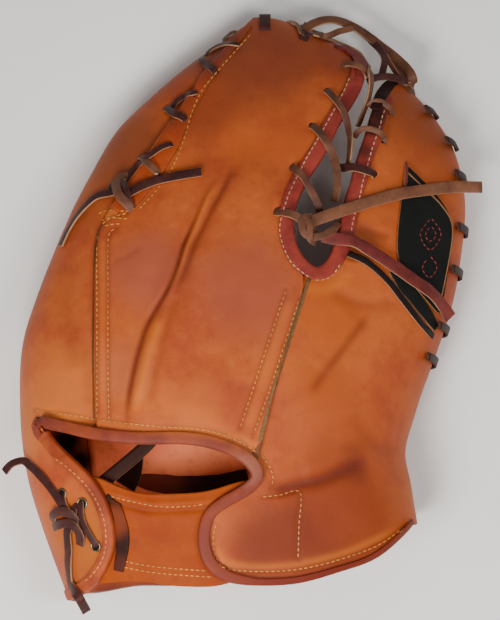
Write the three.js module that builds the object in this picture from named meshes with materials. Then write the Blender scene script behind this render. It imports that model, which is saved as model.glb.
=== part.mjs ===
// A first baseman mitt for the left hand, lying palm down: leather back panels over a
// padded palm, a hand hollow between them, a strap at the wrist, a bound and laced web slit
// between fingers and thumb, and rawhide laces. Millimetres, +Z up, +Y to the finger tips.
import * as THREE from "three";

// Driving dimensions
const mittLength = 320;
const halfWidth = 122;
const backHeight = 92;
const leather = 2.0;
const clearance = 0.3;
const seatGap = 0.6;
const lap = 11;
const lapDip = 0.9;
const wrapLength = 20;
const rimHeight = 11;
const rimThickness = 4.5;
const curlWidth = 17;
const pocketMargin = 25;
const pocketFullLeft = 66;
const pocketFullRight = 60;
const palmPadding = 15;
const heelPadding = 0.45;
const rimFlat = 2;
const rimBlend = 3;
const handRoom = 5;
const pocketDepth = 36;
const webDraw = 19;
const liningThickness = 1.2;
const bindingThickness = 1.5;
const bindingLeaf = 4.2;
const webLeaf = 6.0;
const bindingDrop = 3.2;
const edgeRoom = 1.0;
const strapThickness = 3.0;
const strapGap = 0.9;
const innerStrapWidth = 7;
const laceWidth = 4.2;
const tailWidth = 5.6;
const laceThickness = 1.4;
const rimLaceInset = 7;
const rimLaceLayer = 0.25;
const rimLaceDrop = 2.5;
const sinkStep = 3.2;
const droop = 0.22;
const seatLimit = 0.955;
const knotLength = 12;
const knotWidth = 9;
const knotHeight = 5.5;
const labelThickness = 1.2;
const eyeletRadius = 2.9;
const eyeletWire = 0.75;
const heelEnd = -0.49 * mittLength;

// Where pieces end along the mitt, as shares of its length from the heel.
const crotchAt = 0.533;
const tipEnd = 0.99;
const sideEnd = 0.985;
const thumbTip = 0.895;
const sideShare = 0.4;
const sideBlend = 0.3;
const liningRows = 7;
const openSide = 1;

// Sections across the mitt. at: share of the length from the heel. left, right, crownAt:
// shares of the half width. crown, leftHigh, rightHigh: shares of the back's height.
// leftTuck, rightTuck: how far the rim lies inside the widest line, as shares of the width.
const sectionColumns = [
  "at", "left", "right", "crownAt", "crown", "leftHigh", "rightHigh", "leftTuck", "rightTuck",
];
const sections = [
  [0.0, -0.77, 0.72, -0.18, 0.86, 0.3, 0.3, 0.065, 0.065],
  [0.116, -0.885, 0.77, -0.18, 0.924, 0.36, 0.31, 0.08, 0.075],
  [0.209, -0.959, 0.752, -0.18, 0.967, 0.39, 0.31, 0.09, 0.075],
  [0.303, -0.988, 0.762, -0.164, 0.99, 0.41, 0.283, 0.09, 0.065],
  [0.406, -0.992, 0.848, -0.123, 0.957, 0.41, 0.25, 0.09, 0.05],
  [0.509, -0.922, 0.938, -0.066, 0.891, 0.39, 0.217, 0.08, 0.03],
  [0.6125, -0.82, 0.984, 0.016, 0.804, 0.37, 0.196, 0.07, 0.02],
  [0.681, -0.746, 1.0, 0.066, 0.728, 0.348, 0.185, 0.06, 0.01],
  [0.772, -0.607, 0.959, 0.148, 0.62, 0.293, 0.174, 0.045, 0.008],
  [0.834, -0.475, 0.869, 0.197, 0.543, 0.25, 0.165, 0.03, 0.008],
  [0.8875, -0.36, 0.754, 0.213, 0.467, 0.217, 0.16, 0.018, 0.006],
  [0.928, -0.245, 0.582, 0.197, 0.391, 0.185, 0.155, 0.01, 0.006],
  [0.959, -0.13, 0.434, 0.172, 0.315, 0.165, 0.152, 0.006, 0.006],
  [0.981, -0.03, 0.295, 0.148, 0.239, 0.155, 0.15, 0.004, 0.004],
  [1.0, 0.06, 0.13, 0.105, 0.15, 0.14, 0.14, 0.0, 0.0],
].map((row) => Object.fromEntries(row.map((value, i) => [sectionColumns[i], value])));
const leftFullness = 2.15;
const rightFullness = 1.85;

// The palm side. pocket: share of the pocket's depth. lift: how far the palm leaves the floor,
// as a share of the rim's height. pad: share of the padding.
const palmSections = [
  { at: 0.0, pocket: 0.0, lift: 0.3, pad: 0.9 },
  { at: 0.045, pocket: 0.0, lift: 0.0, pad: 1.1 },
  { at: 0.14, pocket: 0.0, lift: 0.0, pad: 1.35 },
  { at: 0.2, pocket: 0.16, lift: 0.0, pad: 1.35 },
  { at: 0.303, pocket: 0.55, lift: 0.0, pad: 1.2 },
  { at: 0.43, pocket: 0.87, lift: 0.0, pad: 0.95 },
  { at: 0.56, pocket: 1.0, lift: 0.0, pad: 0.75 },
  { at: 0.681, pocket: 0.9, lift: 0.0, pad: 0.65 },
  { at: 0.8, pocket: 0.56, lift: 0.0, pad: 0.6 },
  { at: 0.9, pocket: 0.24, lift: 0.0, pad: 0.55 },
  { at: 0.96, pocket: 0.08, lift: 0.12, pad: 0.45 },
  { at: 0.985, pocket: 0.02, lift: 0.45, pad: 0.38 },
  { at: 1.0, pocket: 0.0, lift: 0.6, pad: 0.32 },
];

// Main folds and hollows of the back. Each runs from one end to the other through a middle
// point; x as shares of the half width, y as shares of the length from the heel.
const folds = [
  { name: "long crease", x: [-0.1, -0.34, -0.53], y: [0.735, 0.53, 0.3], deep: -0.03, wide: 0.055 },
  { name: "crease ridge", x: [-0.0, -0.24, -0.44], y: [0.735, 0.53, 0.3], deep: 0.018, wide: 0.075 },
  { name: "thumb crease", x: [0.66, 0.46, 0.3], y: [0.545, 0.42, 0.3], deep: -0.022, wide: 0.07 },
  { name: "cuff hollow", x: [0.12, 0.4, 0.72], y: [0.19, 0.235, 0.25], deep: -0.05, wide: 0.09 },
  { name: "knuckle dip", x: [0.1, 0.02, -0.14], y: [0.86, 0.72, 0.56], deep: -0.02, wide: 0.11 },
];

// Edges and seams. x: share of the half width, y: share of the length from the heel.
const leftSeam = [
  { y: 0.28, x: -0.63 }, { y: 0.41, x: -0.64 }, { y: 0.52, x: -0.647 }, { y: 0.61, x: -0.632 },
  { y: 0.647, x: -0.592 }, { y: 0.69, x: -0.508 }, { y: 0.735, x: -0.422 }, { y: 0.78, x: -0.355 },
  { y: 0.83, x: -0.28 }, { y: 0.88, x: -0.195 }, { y: 0.922, x: -0.125 }, { y: 0.955, x: -0.05 },
  { y: 0.98, x: 0.02 }, { y: 1.0, x: 0.08 },
];
const rightSeam = [
  { y: 0.2, x: 0.05 }, { y: 0.24, x: 0.08 }, { y: 0.33, x: 0.137 }, { y: 0.425, x: 0.203 },
  { y: 0.51, x: 0.27 }, { y: 0.6, x: 0.3 },
];
// The web slit's bound edge: down the finger side, round the crotch and up the thumb side.
const webEdge = [
  { x: 0.525, y: 0.905 }, { x: 0.52, y: 0.885 }, { x: 0.484, y: 0.851 }, { x: 0.407, y: 0.801 },
  { x: 0.366, y: 0.762 }, { x: 0.325, y: 0.734 }, { x: 0.27, y: 0.7 }, { x: 0.232, y: 0.669 },
  { x: 0.209, y: 0.639 }, { x: 0.205, y: 0.601 }, { x: 0.221, y: 0.569 }, { x: 0.269, y: 0.544 },
  { x: 0.325, y: 0.533 }, { x: 0.39, y: 0.555 }, { x: 0.422, y: 0.584 }, { x: 0.445, y: 0.614 },
  { x: 0.457, y: 0.642 }, { x: 0.472, y: 0.669 }, { x: 0.5, y: 0.702 }, { x: 0.525, y: 0.741 },
  { x: 0.561, y: 0.781 }, { x: 0.594, y: 0.83 }, { x: 0.632, y: 0.865 },
];
const webTurn = 12;
// The rolled edge of the hand opening, down round the thumb side's flap and along the hem.
const openingEdge = [
  { x: -0.865, y: 0.28, over: 0 }, { x: -0.76, y: 0.268, over: 0 }, { x: -0.665, y: 0.257, over: 1 },
  { x: -0.55, y: 0.248, over: 1 }, { x: -0.43, y: 0.244, over: 1 }, { x: -0.279, y: 0.244, over: 1 },
  { x: -0.167, y: 0.239, over: 1 }, { x: -0.065, y: 0.227, over: 1.1 }, { x: 0.02, y: 0.209, over: 1.2 },
  { x: 0.053, y: 0.185, over: 1.1 }, { x: 0.012, y: 0.165, over: 0.6 }, { x: -0.14, y: 0.13, over: 0 },
  { x: -0.177, y: 0.092, over: 0 }, { x: -0.166, y: 0.054, over: 0 }, { x: -0.122, y: 0.029, over: 0 },
  { x: -0.048, y: 0.016, over: 0 }, { x: 0.079, y: 0.011, over: 0 }, { x: 0.26, y: 0.012, over: 0 },
  { x: 0.46, y: 0.029, over: 0 }, { x: 0.6, y: 0.058, over: 0 }, { x: 0.69, y: 0.092, over: 0.15 },
  { x: 0.735, y: 0.118, over: 0.3 },
];
const openingCorner = 9;
const openingLobe = 15;
// The rolled edge of the finger side's flap, from the opening's corner down to its round foot.
const flapEdge = [
  { x: -0.9, y: 0.288 }, { x: -0.87, y: 0.266 }, { x: -0.83, y: 0.243 }, { x: -0.757, y: 0.215 },
  { x: -0.675, y: 0.183 }, { x: -0.621, y: 0.153 }, { x: -0.586, y: 0.115 }, { x: -0.574, y: 0.081 },
  { x: -0.597, y: 0.051 }, { x: -0.638, y: 0.026 }, { x: -0.699, y: 0.007 }, { x: -0.767, y: 0.003 },
];
// The wrist strap's upper and lower edges.
const strapTop = [
  { x: -0.8, y: 0.19 }, { x: -0.655, y: 0.188 }, { x: -0.55, y: 0.168 }, { x: -0.42, y: 0.155 },
  { x: -0.25, y: 0.155 }, { x: -0.125, y: 0.161 }, { x: 0.03, y: 0.18 }, { x: 0.25, y: 0.165 },
];
const strapFoot = [
  { x: -0.8, y: 0.03 }, { x: -0.65, y: 0.012 }, { x: -0.511, y: 0.014 }, { x: -0.281, y: 0.003 },
  { x: -0.125, y: 0.002 }, { x: 0.05, y: 0.024 }, { x: 0.25, y: 0.04 },
];
const palmHeel = [
  { x: -0.8, y: 0.02 }, { x: -0.49, y: 0.019 }, { x: -0.33, y: 0.03 }, { x: 0.0, y: 0.06 },
  { x: 0.49, y: 0.1 }, { x: 0.7, y: 0.14 },
];

// The thumb panel's inner edge: the wrist flap's round end, the opening's corner, the seam
// under the back panel, and the web slit's thumb edge.
const thumbInner = [
  { y: 0.016, x: -0.05 }, { y: 0.029, x: -0.122 }, { y: 0.054, x: -0.166 }, { y: 0.092, x: -0.177 },
  { y: 0.13, x: -0.14 }, { y: 0.165, x: 0.012 }, { y: 0.185, x: 0.053 }, { y: 0.206, x: 0.035 },
  { y: 0.235, x: 0.0 }, { y: 0.32, x: 0.04 }, { y: 0.4, x: 0.1 }, { y: 0.47, x: 0.155 },
  { y: 0.52, x: 0.2 }, { y: 0.533, x: 0.325 }, { y: 0.555, x: 0.39 }, { y: 0.584, x: 0.422 },
  { y: 0.614, x: 0.445 }, { y: 0.642, x: 0.457 }, { y: 0.669, x: 0.472 }, { y: 0.702, x: 0.5 },
  { y: 0.741, x: 0.525 }, { y: 0.781, x: 0.561 }, { y: 0.83, x: 0.594 }, { y: 0.865, x: 0.632 },
  { y: 0.895, x: 0.65 },
];
const hemRow = 6;

// The line under which the palm's two halves join.
const palmMiddle = [
  { y: 0.0, x: -0.06 }, { y: 0.3, x: 0.1 }, { y: 0.45, x: 0.24 }, { y: 0.533, x: 0.325 },
];

// The label on the thumb, by its left and right edges from top to bottom.
const labelLeft = [{ y: 0.73, x: 0.717 }, { y: 0.566, x: 0.673 }, { y: 0.485, x: 0.85 }];
const labelRight = [
  { y: 0.73, x: 0.73 }, { y: 0.703, x: 0.81 }, { y: 0.64, x: 0.93 }, { y: 0.555, x: 0.9 },
  { y: 0.485, x: 0.868 },
];

// Laces on the back. knots: [x share, y share, layer]; the layers are worked out below.
const laceRoutes = [
  {
    name: "web_lace_1", wide: laceWidth, steps: 9,
    knots: [
      [0.345, 0.872, 1], [0.40, 0.845, 2], [0.46, 0.805, 2],
      [0.478, 0.774, 0], [0.47, 0.742, -1],
    ],
  },
  {
    name: "web_lace_2", wide: laceWidth, steps: 10,
    knots: [
      [0.27, 0.81, 1], [0.32, 0.785, 2.1], [0.37, 0.766, 2.2],
      [0.41, 0.742, 0.5], [0.425, 0.705, -1], [0.42, 0.672, -1.5],
    ],
  },
  {
    name: "web_lace_3", wide: laceWidth, steps: 8,
    knots: [
      [0.18, 0.735, 1], [0.232, 0.712, 2], [0.274, 0.691, 2],
      [0.318, 0.665, 0], [0.34, 0.645, -1.5],
    ],
  },
  {
    name: "web_lace_4", wide: laceWidth, steps: 6,
    knots: [[0.10, 0.648, 1], [0.15, 0.638, 2.1], [0.19, 0.632, 2.2], [0.23, 0.626, 2.2]],
  },
  {
    name: "web_lace_5", wide: laceWidth, steps: 6,
    knots: [[0.435, 0.728, 0.6], [0.5, 0.72, 1.12], [0.56, 0.714, 1.1], [0.61, 0.71, 0.4]],
  },
  {
    name: "web_lace_6", wide: laceWidth, steps: 6,
    knots: [[0.553, 0.842, 1], [0.6, 0.836, 1.12], [0.66, 0.828, 1.1], [0.7, 0.822, 0.5]],
  },
  {
    name: "web_lace_7", wide: laceWidth, steps: 6,
    knots: [[0.508, 0.795, 1], [0.56, 0.781, 1.05], [0.625, 0.77, 1.02], [0.665, 0.764, 0.4]],
  },
  {
    name: "web_tail_upper", wide: tailWidth, steps: 18,
    knots: [
      [0.342, 0.622, 1.6], [0.42, 0.634, 1.4], [0.473, 0.646, 1.7], [0.53, 0.653, 1.4],
      [0.60, 0.662, 0.2], [0.70, 0.673, 1], [0.872, 0.692, 2], [1.058, 0.707, 2],
    ],
  },
  {
    name: "web_tail_lower", wide: tailWidth, steps: 18,
    knots: [
      [0.352, 0.606, 0.4], [0.41, 0.598, 1.1], [0.473, 0.594, 1.25], [0.57, 0.585, 0.1],
      [0.65, 0.568, 0.8], [0.783, 0.532, 0.85], [0.90, 0.492, 1],
    ],
  },
  {
    name: "web_tail_under", wide: laceWidth, steps: 12,
    knots: [[0.505, 0.566, 0], [0.57, 0.546, 0], [0.65, 0.515, 0], [0.75, 0.478, 0], [0.836, 0.449, 0]],
  },
  {
    name: "tip_lace_1", wide: tailWidth, steps: 18,
    knots: [
      [0.28, 0.975, 1], [0.35, 0.99, 1.5], [0.451, 0.993, 1.5], [0.54, 0.975, 1.8],
      [0.628, 0.948, 1.5], [0.717, 0.915, 1.3], [0.75, 0.893, 1], [0.735, 0.862, 0],
    ],
  },
  {
    name: "tip_lace_2", wide: laceWidth, steps: 8,
    knots: [[0.31, 0.955, 1], [0.36, 0.958, 1], [0.42, 0.967, 1.2], [0.473, 0.974, 1]],
  },
  {
    name: "tip_lace_3", wide: laceWidth, steps: 6,
    knots: [[0.628, 0.932, 0.9], [0.621, 0.918, 0.9], [0.622, 0.903, 0.9]],
  },
  {
    name: "tip_lace_4", wide: laceWidth, steps: 6,
    knots: [[0.60, 0.886, 1], [0.66, 0.883, 1], [0.717, 0.879, 0.2]],
  },
  {
    name: "tip_lace_5", wide: laceWidth, steps: 10,
    knots: [
      [0.385, 0.943, 1], [0.46, 0.94, 1], [0.516, 0.925, 2.4],
      [0.556, 0.9, 2.6], [0.562, 0.868, 1.2],
    ],
  },
  {
    name: "side_lace_1", wide: laceWidth, steps: 5,
    knots: [[-0.166, 0.925, 1], [-0.1, 0.938, 1], [-0.03, 0.945, 1]],
  },
  {
    name: "side_lace_2", wide: laceWidth, steps: 4,
    knots: [[-0.205, 0.9, 1], [-0.17, 0.893, 1], [-0.125, 0.885, 1]],
  },
  {
    name: "side_lace_3", wide: laceWidth, steps: 5,
    knots: [[-0.285, 0.838, 1], [-0.25, 0.846, 1], [-0.205, 0.856, 1]],
  },
  {
    name: "side_lace_4", wide: laceWidth, steps: 4,
    knots: [[-0.33, 0.82, 1], [-0.3, 0.812, 1], [-0.26, 0.805, 1]],
  },
  {
    name: "side_lace_5", wide: laceWidth, steps: 5,
    knots: [[-0.395, 0.745, 1], [-0.36, 0.753, 1], [-0.31, 0.763, 1]],
  },
  {
    name: "side_lace_6", wide: laceWidth, steps: 4,
    knots: [[-0.42, 0.728, 1], [-0.39, 0.718, 1], [-0.35, 0.71, 1]],
  },
  {
    name: "side_tail_left", wide: tailWidth, steps: 12,
    knots: [[-0.6, 0.677, 1], [-0.64, 0.665, 0.6], [-0.72, 0.632, 0], [-0.80, 0.588, 0]],
  },
  {
    name: "side_tail_right", wide: tailWidth, steps: 12,
    knots: [[-0.482, 0.679, 1], [-0.42, 0.684, 1], [-0.33, 0.693, 1], [-0.18, 0.70, 1]],
  },
  {
    name: "tip_rim_lace_1", wide: laceWidth, steps: 6,
    knots: [[0.065, 0.955, 1], [0.078, 0.972, 1], [0.09, 0.99, 1]],
  },
  {
    name: "tip_rim_lace_2", wide: laceWidth, steps: 6,
    knots: [[0.115, 0.95, 1], [0.128, 0.968, 1], [0.14, 0.986, 1]],
  },
  {
    name: "strap_lace_1", wide: laceWidth, steps: 9,
    knots: [[-0.712, 0.148, 0.85], [-0.702, 0.126, 0.9], [-0.685, 0.1, 1], [-0.66, 0.078, 1]],
  },
  {
    name: "strap_tail_left", wide: tailWidth, steps: 12,
    knots: [
      [-0.80, 0.17, 1], [-0.84, 0.196, 0.5], [-0.92, 0.216, 0],
      [-1.01, 0.226, 0], [-1.053, 0.219, 0],
    ],
  },
  {
    name: "strap_tail_down", wide: tailWidth, steps: 12,
    knots: [
      [-0.766, 0.097, 1], [-0.757, 0.071, 1], [-0.755, 0.035, 1],
      [-0.72, 0.005, 1], [-0.69, -0.012, 1],
    ],
  },
  {
    name: "inner_hand_strap", wide: innerStrapWidth, steps: 9,
    knots: [[-0.66, 0.17, -3.2], [-0.55, 0.2, -3], [-0.41, 0.242, -2.4], [-0.3, 0.29, -0.75]],
  },
];

// Knots of lace. turn: radians about the surface's normal.
const knotPlaces = [
  { name: "web_knot", x: 0.297, y: 0.614, layer: 1.3, turn: 0.25 },
  { name: "side_knot", x: -0.542, y: 0.677, layer: 1, turn: 0.2 },
  { name: "strap_knot", x: -0.772, y: 0.125, layer: -0.1, turn: 1.2 },
];

// Laces over the thumb's rim, as shares of the length from the heel.
const rimLaceRows = [0.84, 0.785, 0.728, 0.637, 0.563, 0.465, 0.41];

// Eyelets. sunk: how many leaves of leather below the flap the eyelet sits.
const eyeletPlaces = [
  { x: -0.796, y: 0.156, sunk: 0 }, { x: -0.71, y: 0.15, sunk: 0 }, { x: -0.655, y: 0.058, sunk: 0 },
  { x: -0.535, y: 0.06, sunk: 1 },
];

const px = (share) => share * halfWidth;
const py = (share) => heelEnd + share * mittLength;
const mix = (a, b, t) => a + (b - a) * t;
const clamp = (v) => Math.min(1, Math.max(0, v));
const ease = (low, high, v) => {
  const t = clamp((v - low) / (high - low));
  return t * t * (3 - 2 * t);
};

// A smooth curve through a table's rows that never overshoots them.
function track(rows, along, column) {
  const p = rows.map((r) => r[along]);
  const v = rows.map((r) => r[column]);
  const slope = p.slice(1).map((next, i) => (v[i + 1] - v[i]) / (next - p[i]));
  const tangent = p.map((_, i) => {
    if (i === 0 || i === p.length - 1) return slope[Math.min(i, slope.length - 1)];
    if (slope[i - 1] * slope[i] <= 0) return 0;
    return (2 * slope[i - 1] * slope[i]) / (slope[i - 1] + slope[i]);
  });
  return (at) => {
    let i = 0;
    while (i < p.length - 2 && at > p[i + 1]) i += 1;
    const span = p[i + 1] - p[i];
    const t = clamp((at - p[i]) / span);
    const a = 2 * t ** 3 - 3 * t ** 2 + 1;
    const b = t ** 3 - 2 * t ** 2 + t;
    const c = 3 * t ** 2 - 2 * t ** 3;
    const d = t ** 3 - t ** 2;
    return a * v[i] + b * span * tangent[i] + c * v[i + 1] + d * span * tangent[i + 1];
  };
}

const tracksOf = (rows, columns) =>
  Object.fromEntries(columns.map((key) => [key, track(rows, "at", key)]));
const sectionTracks = tracksOf(sections, sectionColumns.slice(1));
const palmTracks = tracksOf(palmSections, ["pocket", "lift", "pad"]);

// The sizes of the section at one place along the mitt, in millimetres.
function sectionAt(y) {
  const at = (y - heelEnd) / mittLength;
  const share = (key) => sectionTracks[key](at);
  return {
    left: px(share("left")),
    right: px(share("right")),
    crownAt: px(share("crownAt")),
    crown: backHeight * share("crown"),
    leftHigh: backHeight * share("leftHigh"),
    rightHigh: backHeight * share("rightHigh"),
    leftRim: px(share("left") + share("leftTuck")),
    rightRim: px(share("right") - share("rightTuck")),
  };
}

// Distance from a plan point to a fold's line, and how far along the fold it falls.
function alongFold(fold, x, y) {
  const curve = new THREE.QuadraticBezierCurve(
    ...fold.x.map((share, i) => new THREE.Vector2(px(share), py(fold.y[i]))),
  );
  const steps = 12;
  let best = { distance: Infinity, t: 0 };
  for (let i = 0; i <= steps; i += 1) {
    const at = curve.getPoint(i / steps);
    const distance = Math.hypot(x - at.x, y - at.y);
    if (distance < best.distance) best = { distance, t: i / steps };
  }
  return best;
}

function foldHeight(x, y) {
  return folds.reduce((sum, fold) => {
    const { distance, t } = alongFold(fold, x, y);
    const fade = Math.sin(Math.PI * mix(0.12, 0.88, t));
    return sum + fold.deep * backHeight * fade * Math.exp(-((distance / px(fold.wide)) ** 2));
  }, 0);
}

// Height of the back above the floor at a plan point between the widest lines.
function backZ(x, y) {
  const s = sectionAt(y);
  const onLeft = x < s.crownAt;
  const side = onLeft ? s.left : s.right;
  const low = onLeft ? s.leftHigh : s.rightHigh;
  const power = onLeft ? leftFullness : rightFullness;
  const t = clamp(Math.abs((x - s.crownAt) / (side - s.crownAt)));
  const dome = (1 - t ** power) ** (1 / power);
  return low + (s.crown - low + foldHeight(x, y)) * dome;
}

// A point of the back. Past the widest line, u runs on down the side wall to the rim.
function backPoint(u, y) {
  const s = sectionAt(y);
  const under = (side, rim, high, past) => {
    const turn = (clamp(past / wrapLength) * Math.PI) / 2;
    return new THREE.Vector3(
      side + (rim - side) * (1 - Math.cos(turn)),
      y,
      high - (high - rimHeight) * Math.sin(turn),
    );
  };
  if (u < s.left) return under(s.left, s.leftRim, s.leftHigh, s.left - u);
  if (u > s.right) return under(s.right, s.rightRim, s.rightHigh, u - s.right);
  return new THREE.Vector3(u, y, backZ(u, y));
}

function backNormal(u, y) {
  const step = 0.6;
  const across = backPoint(u + step, y).sub(backPoint(u - step, y));
  const along = backPoint(u, y + step).sub(backPoint(u, y - step));
  return across.cross(along).normalize();
}

const raised = (u, y, lift) => backPoint(u, y).addScaledVector(backNormal(u, y), lift);

const trackOf = (rows, along, column) =>
  track([...rows].sort((a, b) => a[along] - b[along]), along, column);
const shareOf = (y) => (y - heelEnd) / mittLength;
const spread = (count, shape = (t) => t) => Array.from({ length: count + 1 }, (_, i) => shape(i / count));
const denseAtEnd = (t) => Math.sin((t * Math.PI) / 2);
const denseAtStart = (t) => 1 - Math.cos((t * Math.PI) / 2);
const stretch = (values, low, high) => values.map((t) => mix(low, high, t));

// The web slit's two edges as curves of y, and a plan point's distance from its line.
const fingerEdge = trackOf(webEdge.slice(0, webTurn + 1), "y", "x");
const thumbEdge = trackOf(webEdge.slice(webTurn), "y", "x");
const webPath = webEdge.map((p) => new THREE.Vector2(px(p.x), py(p.y)));
function fromSlit(x, y) {
  let nearest = Infinity;
  for (let i = 1; i < webPath.length; i += 1) {
    const run = webPath[i].clone().sub(webPath[i - 1]);
    const to = new THREE.Vector2(x, y).sub(webPath[i - 1]);
    const t = clamp(to.dot(run) / run.lengthSq());
    nearest = Math.min(nearest, to.addScaledVector(run, -t).length());
  }
  return nearest;
}

// The palm's lower face at a plan point: curled up at the rim, hollowed in the pocket and
// drawn up to the back all round the web slit.
function palmLow(x, y) {
  const s = sectionAt(y);
  const nearRim = Math.max(0, Math.min(x - s.leftRim, s.rightRim - x));
  const curl = (rimHeight - clearance - rimThickness) * (1 - clamp(nearRim / curlWidth)) ** 2;
  const hollowLeft = ease(pocketMargin, pocketFullLeft, x - s.leftRim);
  const hollow = hollowLeft * ease(pocketMargin, pocketFullRight, s.rightRim - x);
  const lift = rimHeight * palmTracks.lift(shareOf(y));
  const base = Math.max(curl, lift) + pocketDepth * palmTracks.pocket(shareOf(y)) * hollow;
  const edge = backZ(x, y) - 3 * leather - seatGap;
  return base + Math.max(0, edge - base) * Math.exp(-((fromSlit(x, y) / webDraw) ** 2));
}

function palmHigh(x, y) {
  const s = sectionAt(y);
  const nearRim = Math.max(0, Math.min(x - s.leftRim, s.rightRim - x));
  const nearHeel = y - py(heelLine(x / halfWidth));
  const full = palmPadding * palmTracks.pad(shareOf(y)) * mix(heelPadding, 1, ease(0, curlWidth, nearHeel));
  const pad = mix(leather, full, ease(0, webDraw, fromSlit(x, y)));
  const low = palmLow(x, y);
  const inside = Math.min(low + pad, Math.max(low + leather, backZ(x, y) - handRoom * leather));
  return mix(rimHeight - clearance, inside, ease(rimFlat, curlWidth + rimBlend, nearRim));
}

const bodyFrom = (flat) =>
  new THREE.BufferGeometry().setAttribute("position", new THREE.Float32BufferAttribute(flat, 3));

// A closed body between two matching layers of points. faces: corner numbers, counter-clockwise
// from the outer layer's side. Edges used by one face get a wall.
function closeBetween(faces, outer, inner) {
  const triangles = faces.flatMap(([a, b, c, d]) => {
    const halves = [[a, b, c], [a, c, d]];
    return halves.filter(([i, j, k]) => i !== j && j !== k && k !== i);
  });
  const directed = new Set(triangles.flatMap(([a, b, c]) => [`${a},${b}`, `${b},${c}`, `${c},${a}`]));
  const flat = [];
  const put = (...points) => points.forEach((p) => flat.push(p.x, p.y, p.z));
  triangles.forEach(([a, b, c]) => {
    put(outer[a], outer[b], outer[c]);
    put(inner[c], inner[b], inner[a]);
    [[a, b], [b, c], [c, a]].forEach(([i, j]) => {
      if (directed.has(`${j},${i}`)) return;
      put(outer[j], outer[i], inner[i]);
      put(outer[j], inner[i], inner[j]);
    });
  });
  return bodyFrom(flat);
}

// A sheet: points found by place, so that neighbouring patches share their common edge.
function makeSheet() {
  const points = [];
  const names = new Map();
  const faces = [];
  const corner = (p) => {
    const key = [p.x, p.y, p.z].map((v) => v.toFixed(3)).join();
    if (!names.has(key)) {
      names.set(key, points.length);
      points.push(p);
    }
    return names.get(key);
  };
  // Columns run across and rows run along y; pointAt(i, j) gives each corner.
  const patch = (columns, rows, pointAt) => {
    const grid = spread(columns).map((_, i) => spread(rows).map((__, j) => corner(pointAt(i, j))));
    for (let i = 0; i < columns; i += 1)
      for (let j = 0; j < rows; j += 1)
        faces.push([grid[i][j], grid[i + 1][j], grid[i + 1][j + 1], grid[i][j + 1]]);
  };
  return { points, faces, patch };
}

// A leather wall on a sheet, from one offset to another along the sheet's own normals.
function wall(sheet, low, high) {
  const normals = sheet.points.map(() => new THREE.Vector3());
  sheet.faces.forEach((corners) => {
    const [p, q, r, s] = corners.map((i) => sheet.points[i]);
    const n = r.clone().sub(p).cross(s.clone().sub(q));
    new Set(corners).forEach((i) => normals[i].add(n));
  });
  normals.forEach((n) => n.normalize());
  const layer = (offset) => sheet.points.map((p, i) => p.clone().addScaledVector(normals[i], offset));
  return closeBetween(sheet.faces, layer(high), layer(low));
}

// Sweeps a section of [side, up] pairs along stations that carry their own up vectors. The
// section's first corner sees all the others.
function sweep(stations, section) {
  const rings = stations.map(({ at, up }, i) => {
    const before = stations[Math.max(0, i - 1)].at;
    const after = stations[Math.min(stations.length - 1, i + 1)].at;
    const run = after.clone().sub(before);
    const side = run.clone().cross(up).normalize();
    const rise = side.clone().cross(run).normalize();
    return section.map(([a, b]) => at.clone().addScaledVector(side, a).addScaledVector(rise, b));
  });
  const triangles = [];
  const count = section.length;
  for (let i = 0; i < rings.length - 1; i += 1)
    for (let k = 0; k < count; k += 1) {
      const n = (k + 1) % count;
      triangles.push([rings[i][k], rings[i][n], rings[i + 1][n]]);
      triangles.push([rings[i][k], rings[i + 1][n], rings[i + 1][k]]);
    }
  const [first, last] = [rings[0], rings[rings.length - 1]];
  for (let k = 1; k < count - 1; k += 1) {
    triangles.push([first[0], first[k + 1], first[k]]);
    triangles.push([last[0], last[k], last[k + 1]]);
  }
  return bodyFrom(triangles.flatMap((corners) => corners.flatMap((p) => [p.x, p.y, p.z])));
}

// A flat strip's section, its underside at up = 0.
function stripSection(width, thickness) {
  const w = width / 2;
  return [[w, 0], [-w, 0], [-w, thickness], [w, thickness]];
}

// A folded binding's section: a top leaf over the edge and a lip down outside it. toward is
// 1 where the open side lies to the right of the run, and -1 to the left.
function bindingSection(leaf, toward) {
  const t = bindingThickness;
  const corners = [
    [edgeRoom, 0], [-leaf, 0], [-leaf, t], [edgeRoom, t], [edgeRoom + t, 0.4 * t],
    [edgeRoom + t, -bindingDrop], [edgeRoom, -bindingDrop],
  ];
  if (toward > 0) return corners;
  return [...corners.slice(0, 1), ...corners.slice(1).reverse()].map(([a, b]) => [-a, b]);
}

// Height over the plan surface of each layer: 0 on the side panels, 1 on the back panel, 2 on
// a binding that lies on it, and one more lace for each layer above. Below 0 it sinks.
const layerHeights = [seatGap, clearance + leather + seatGap];
layerHeights.push(layerHeights[1] + bindingThickness + seatGap);
layerHeights.push(layerHeights[2] + laceThickness + seatGap);
layerHeights.push(layerHeights[3] + laceThickness + seatGap);
function layerHeight(layer) {
  if (layer < 0) return layerHeights[0] + layer * sinkStep;
  const low = Math.min(layerHeights.length - 2, Math.floor(layer));
  return mix(layerHeights[low], layerHeights[low + 1], layer - low);
}

// A point over the back. Past the silhouette it runs on outwards and droops a little.
function seat(x, y, lift) {
  const s = sectionAt(y);
  const inside = Math.min(Math.max(x, seatLimit * s.left), seatLimit * s.right);
  const past = x - inside;
  const at = raised(inside, y, lift);
  at.x += past;
  at.z -= droop * Math.abs(past);
  const level = clamp(Math.abs(past) / laceWidth);
  return { at, up: backNormal(inside, y).lerp(new THREE.Vector3(0, 0, 1), level) };
}

// A point that hugs the back, also down the side wall.
function hug(u, y, lift) {
  return { at: raised(u, y, lift), up: backNormal(u, y) };
}

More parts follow.
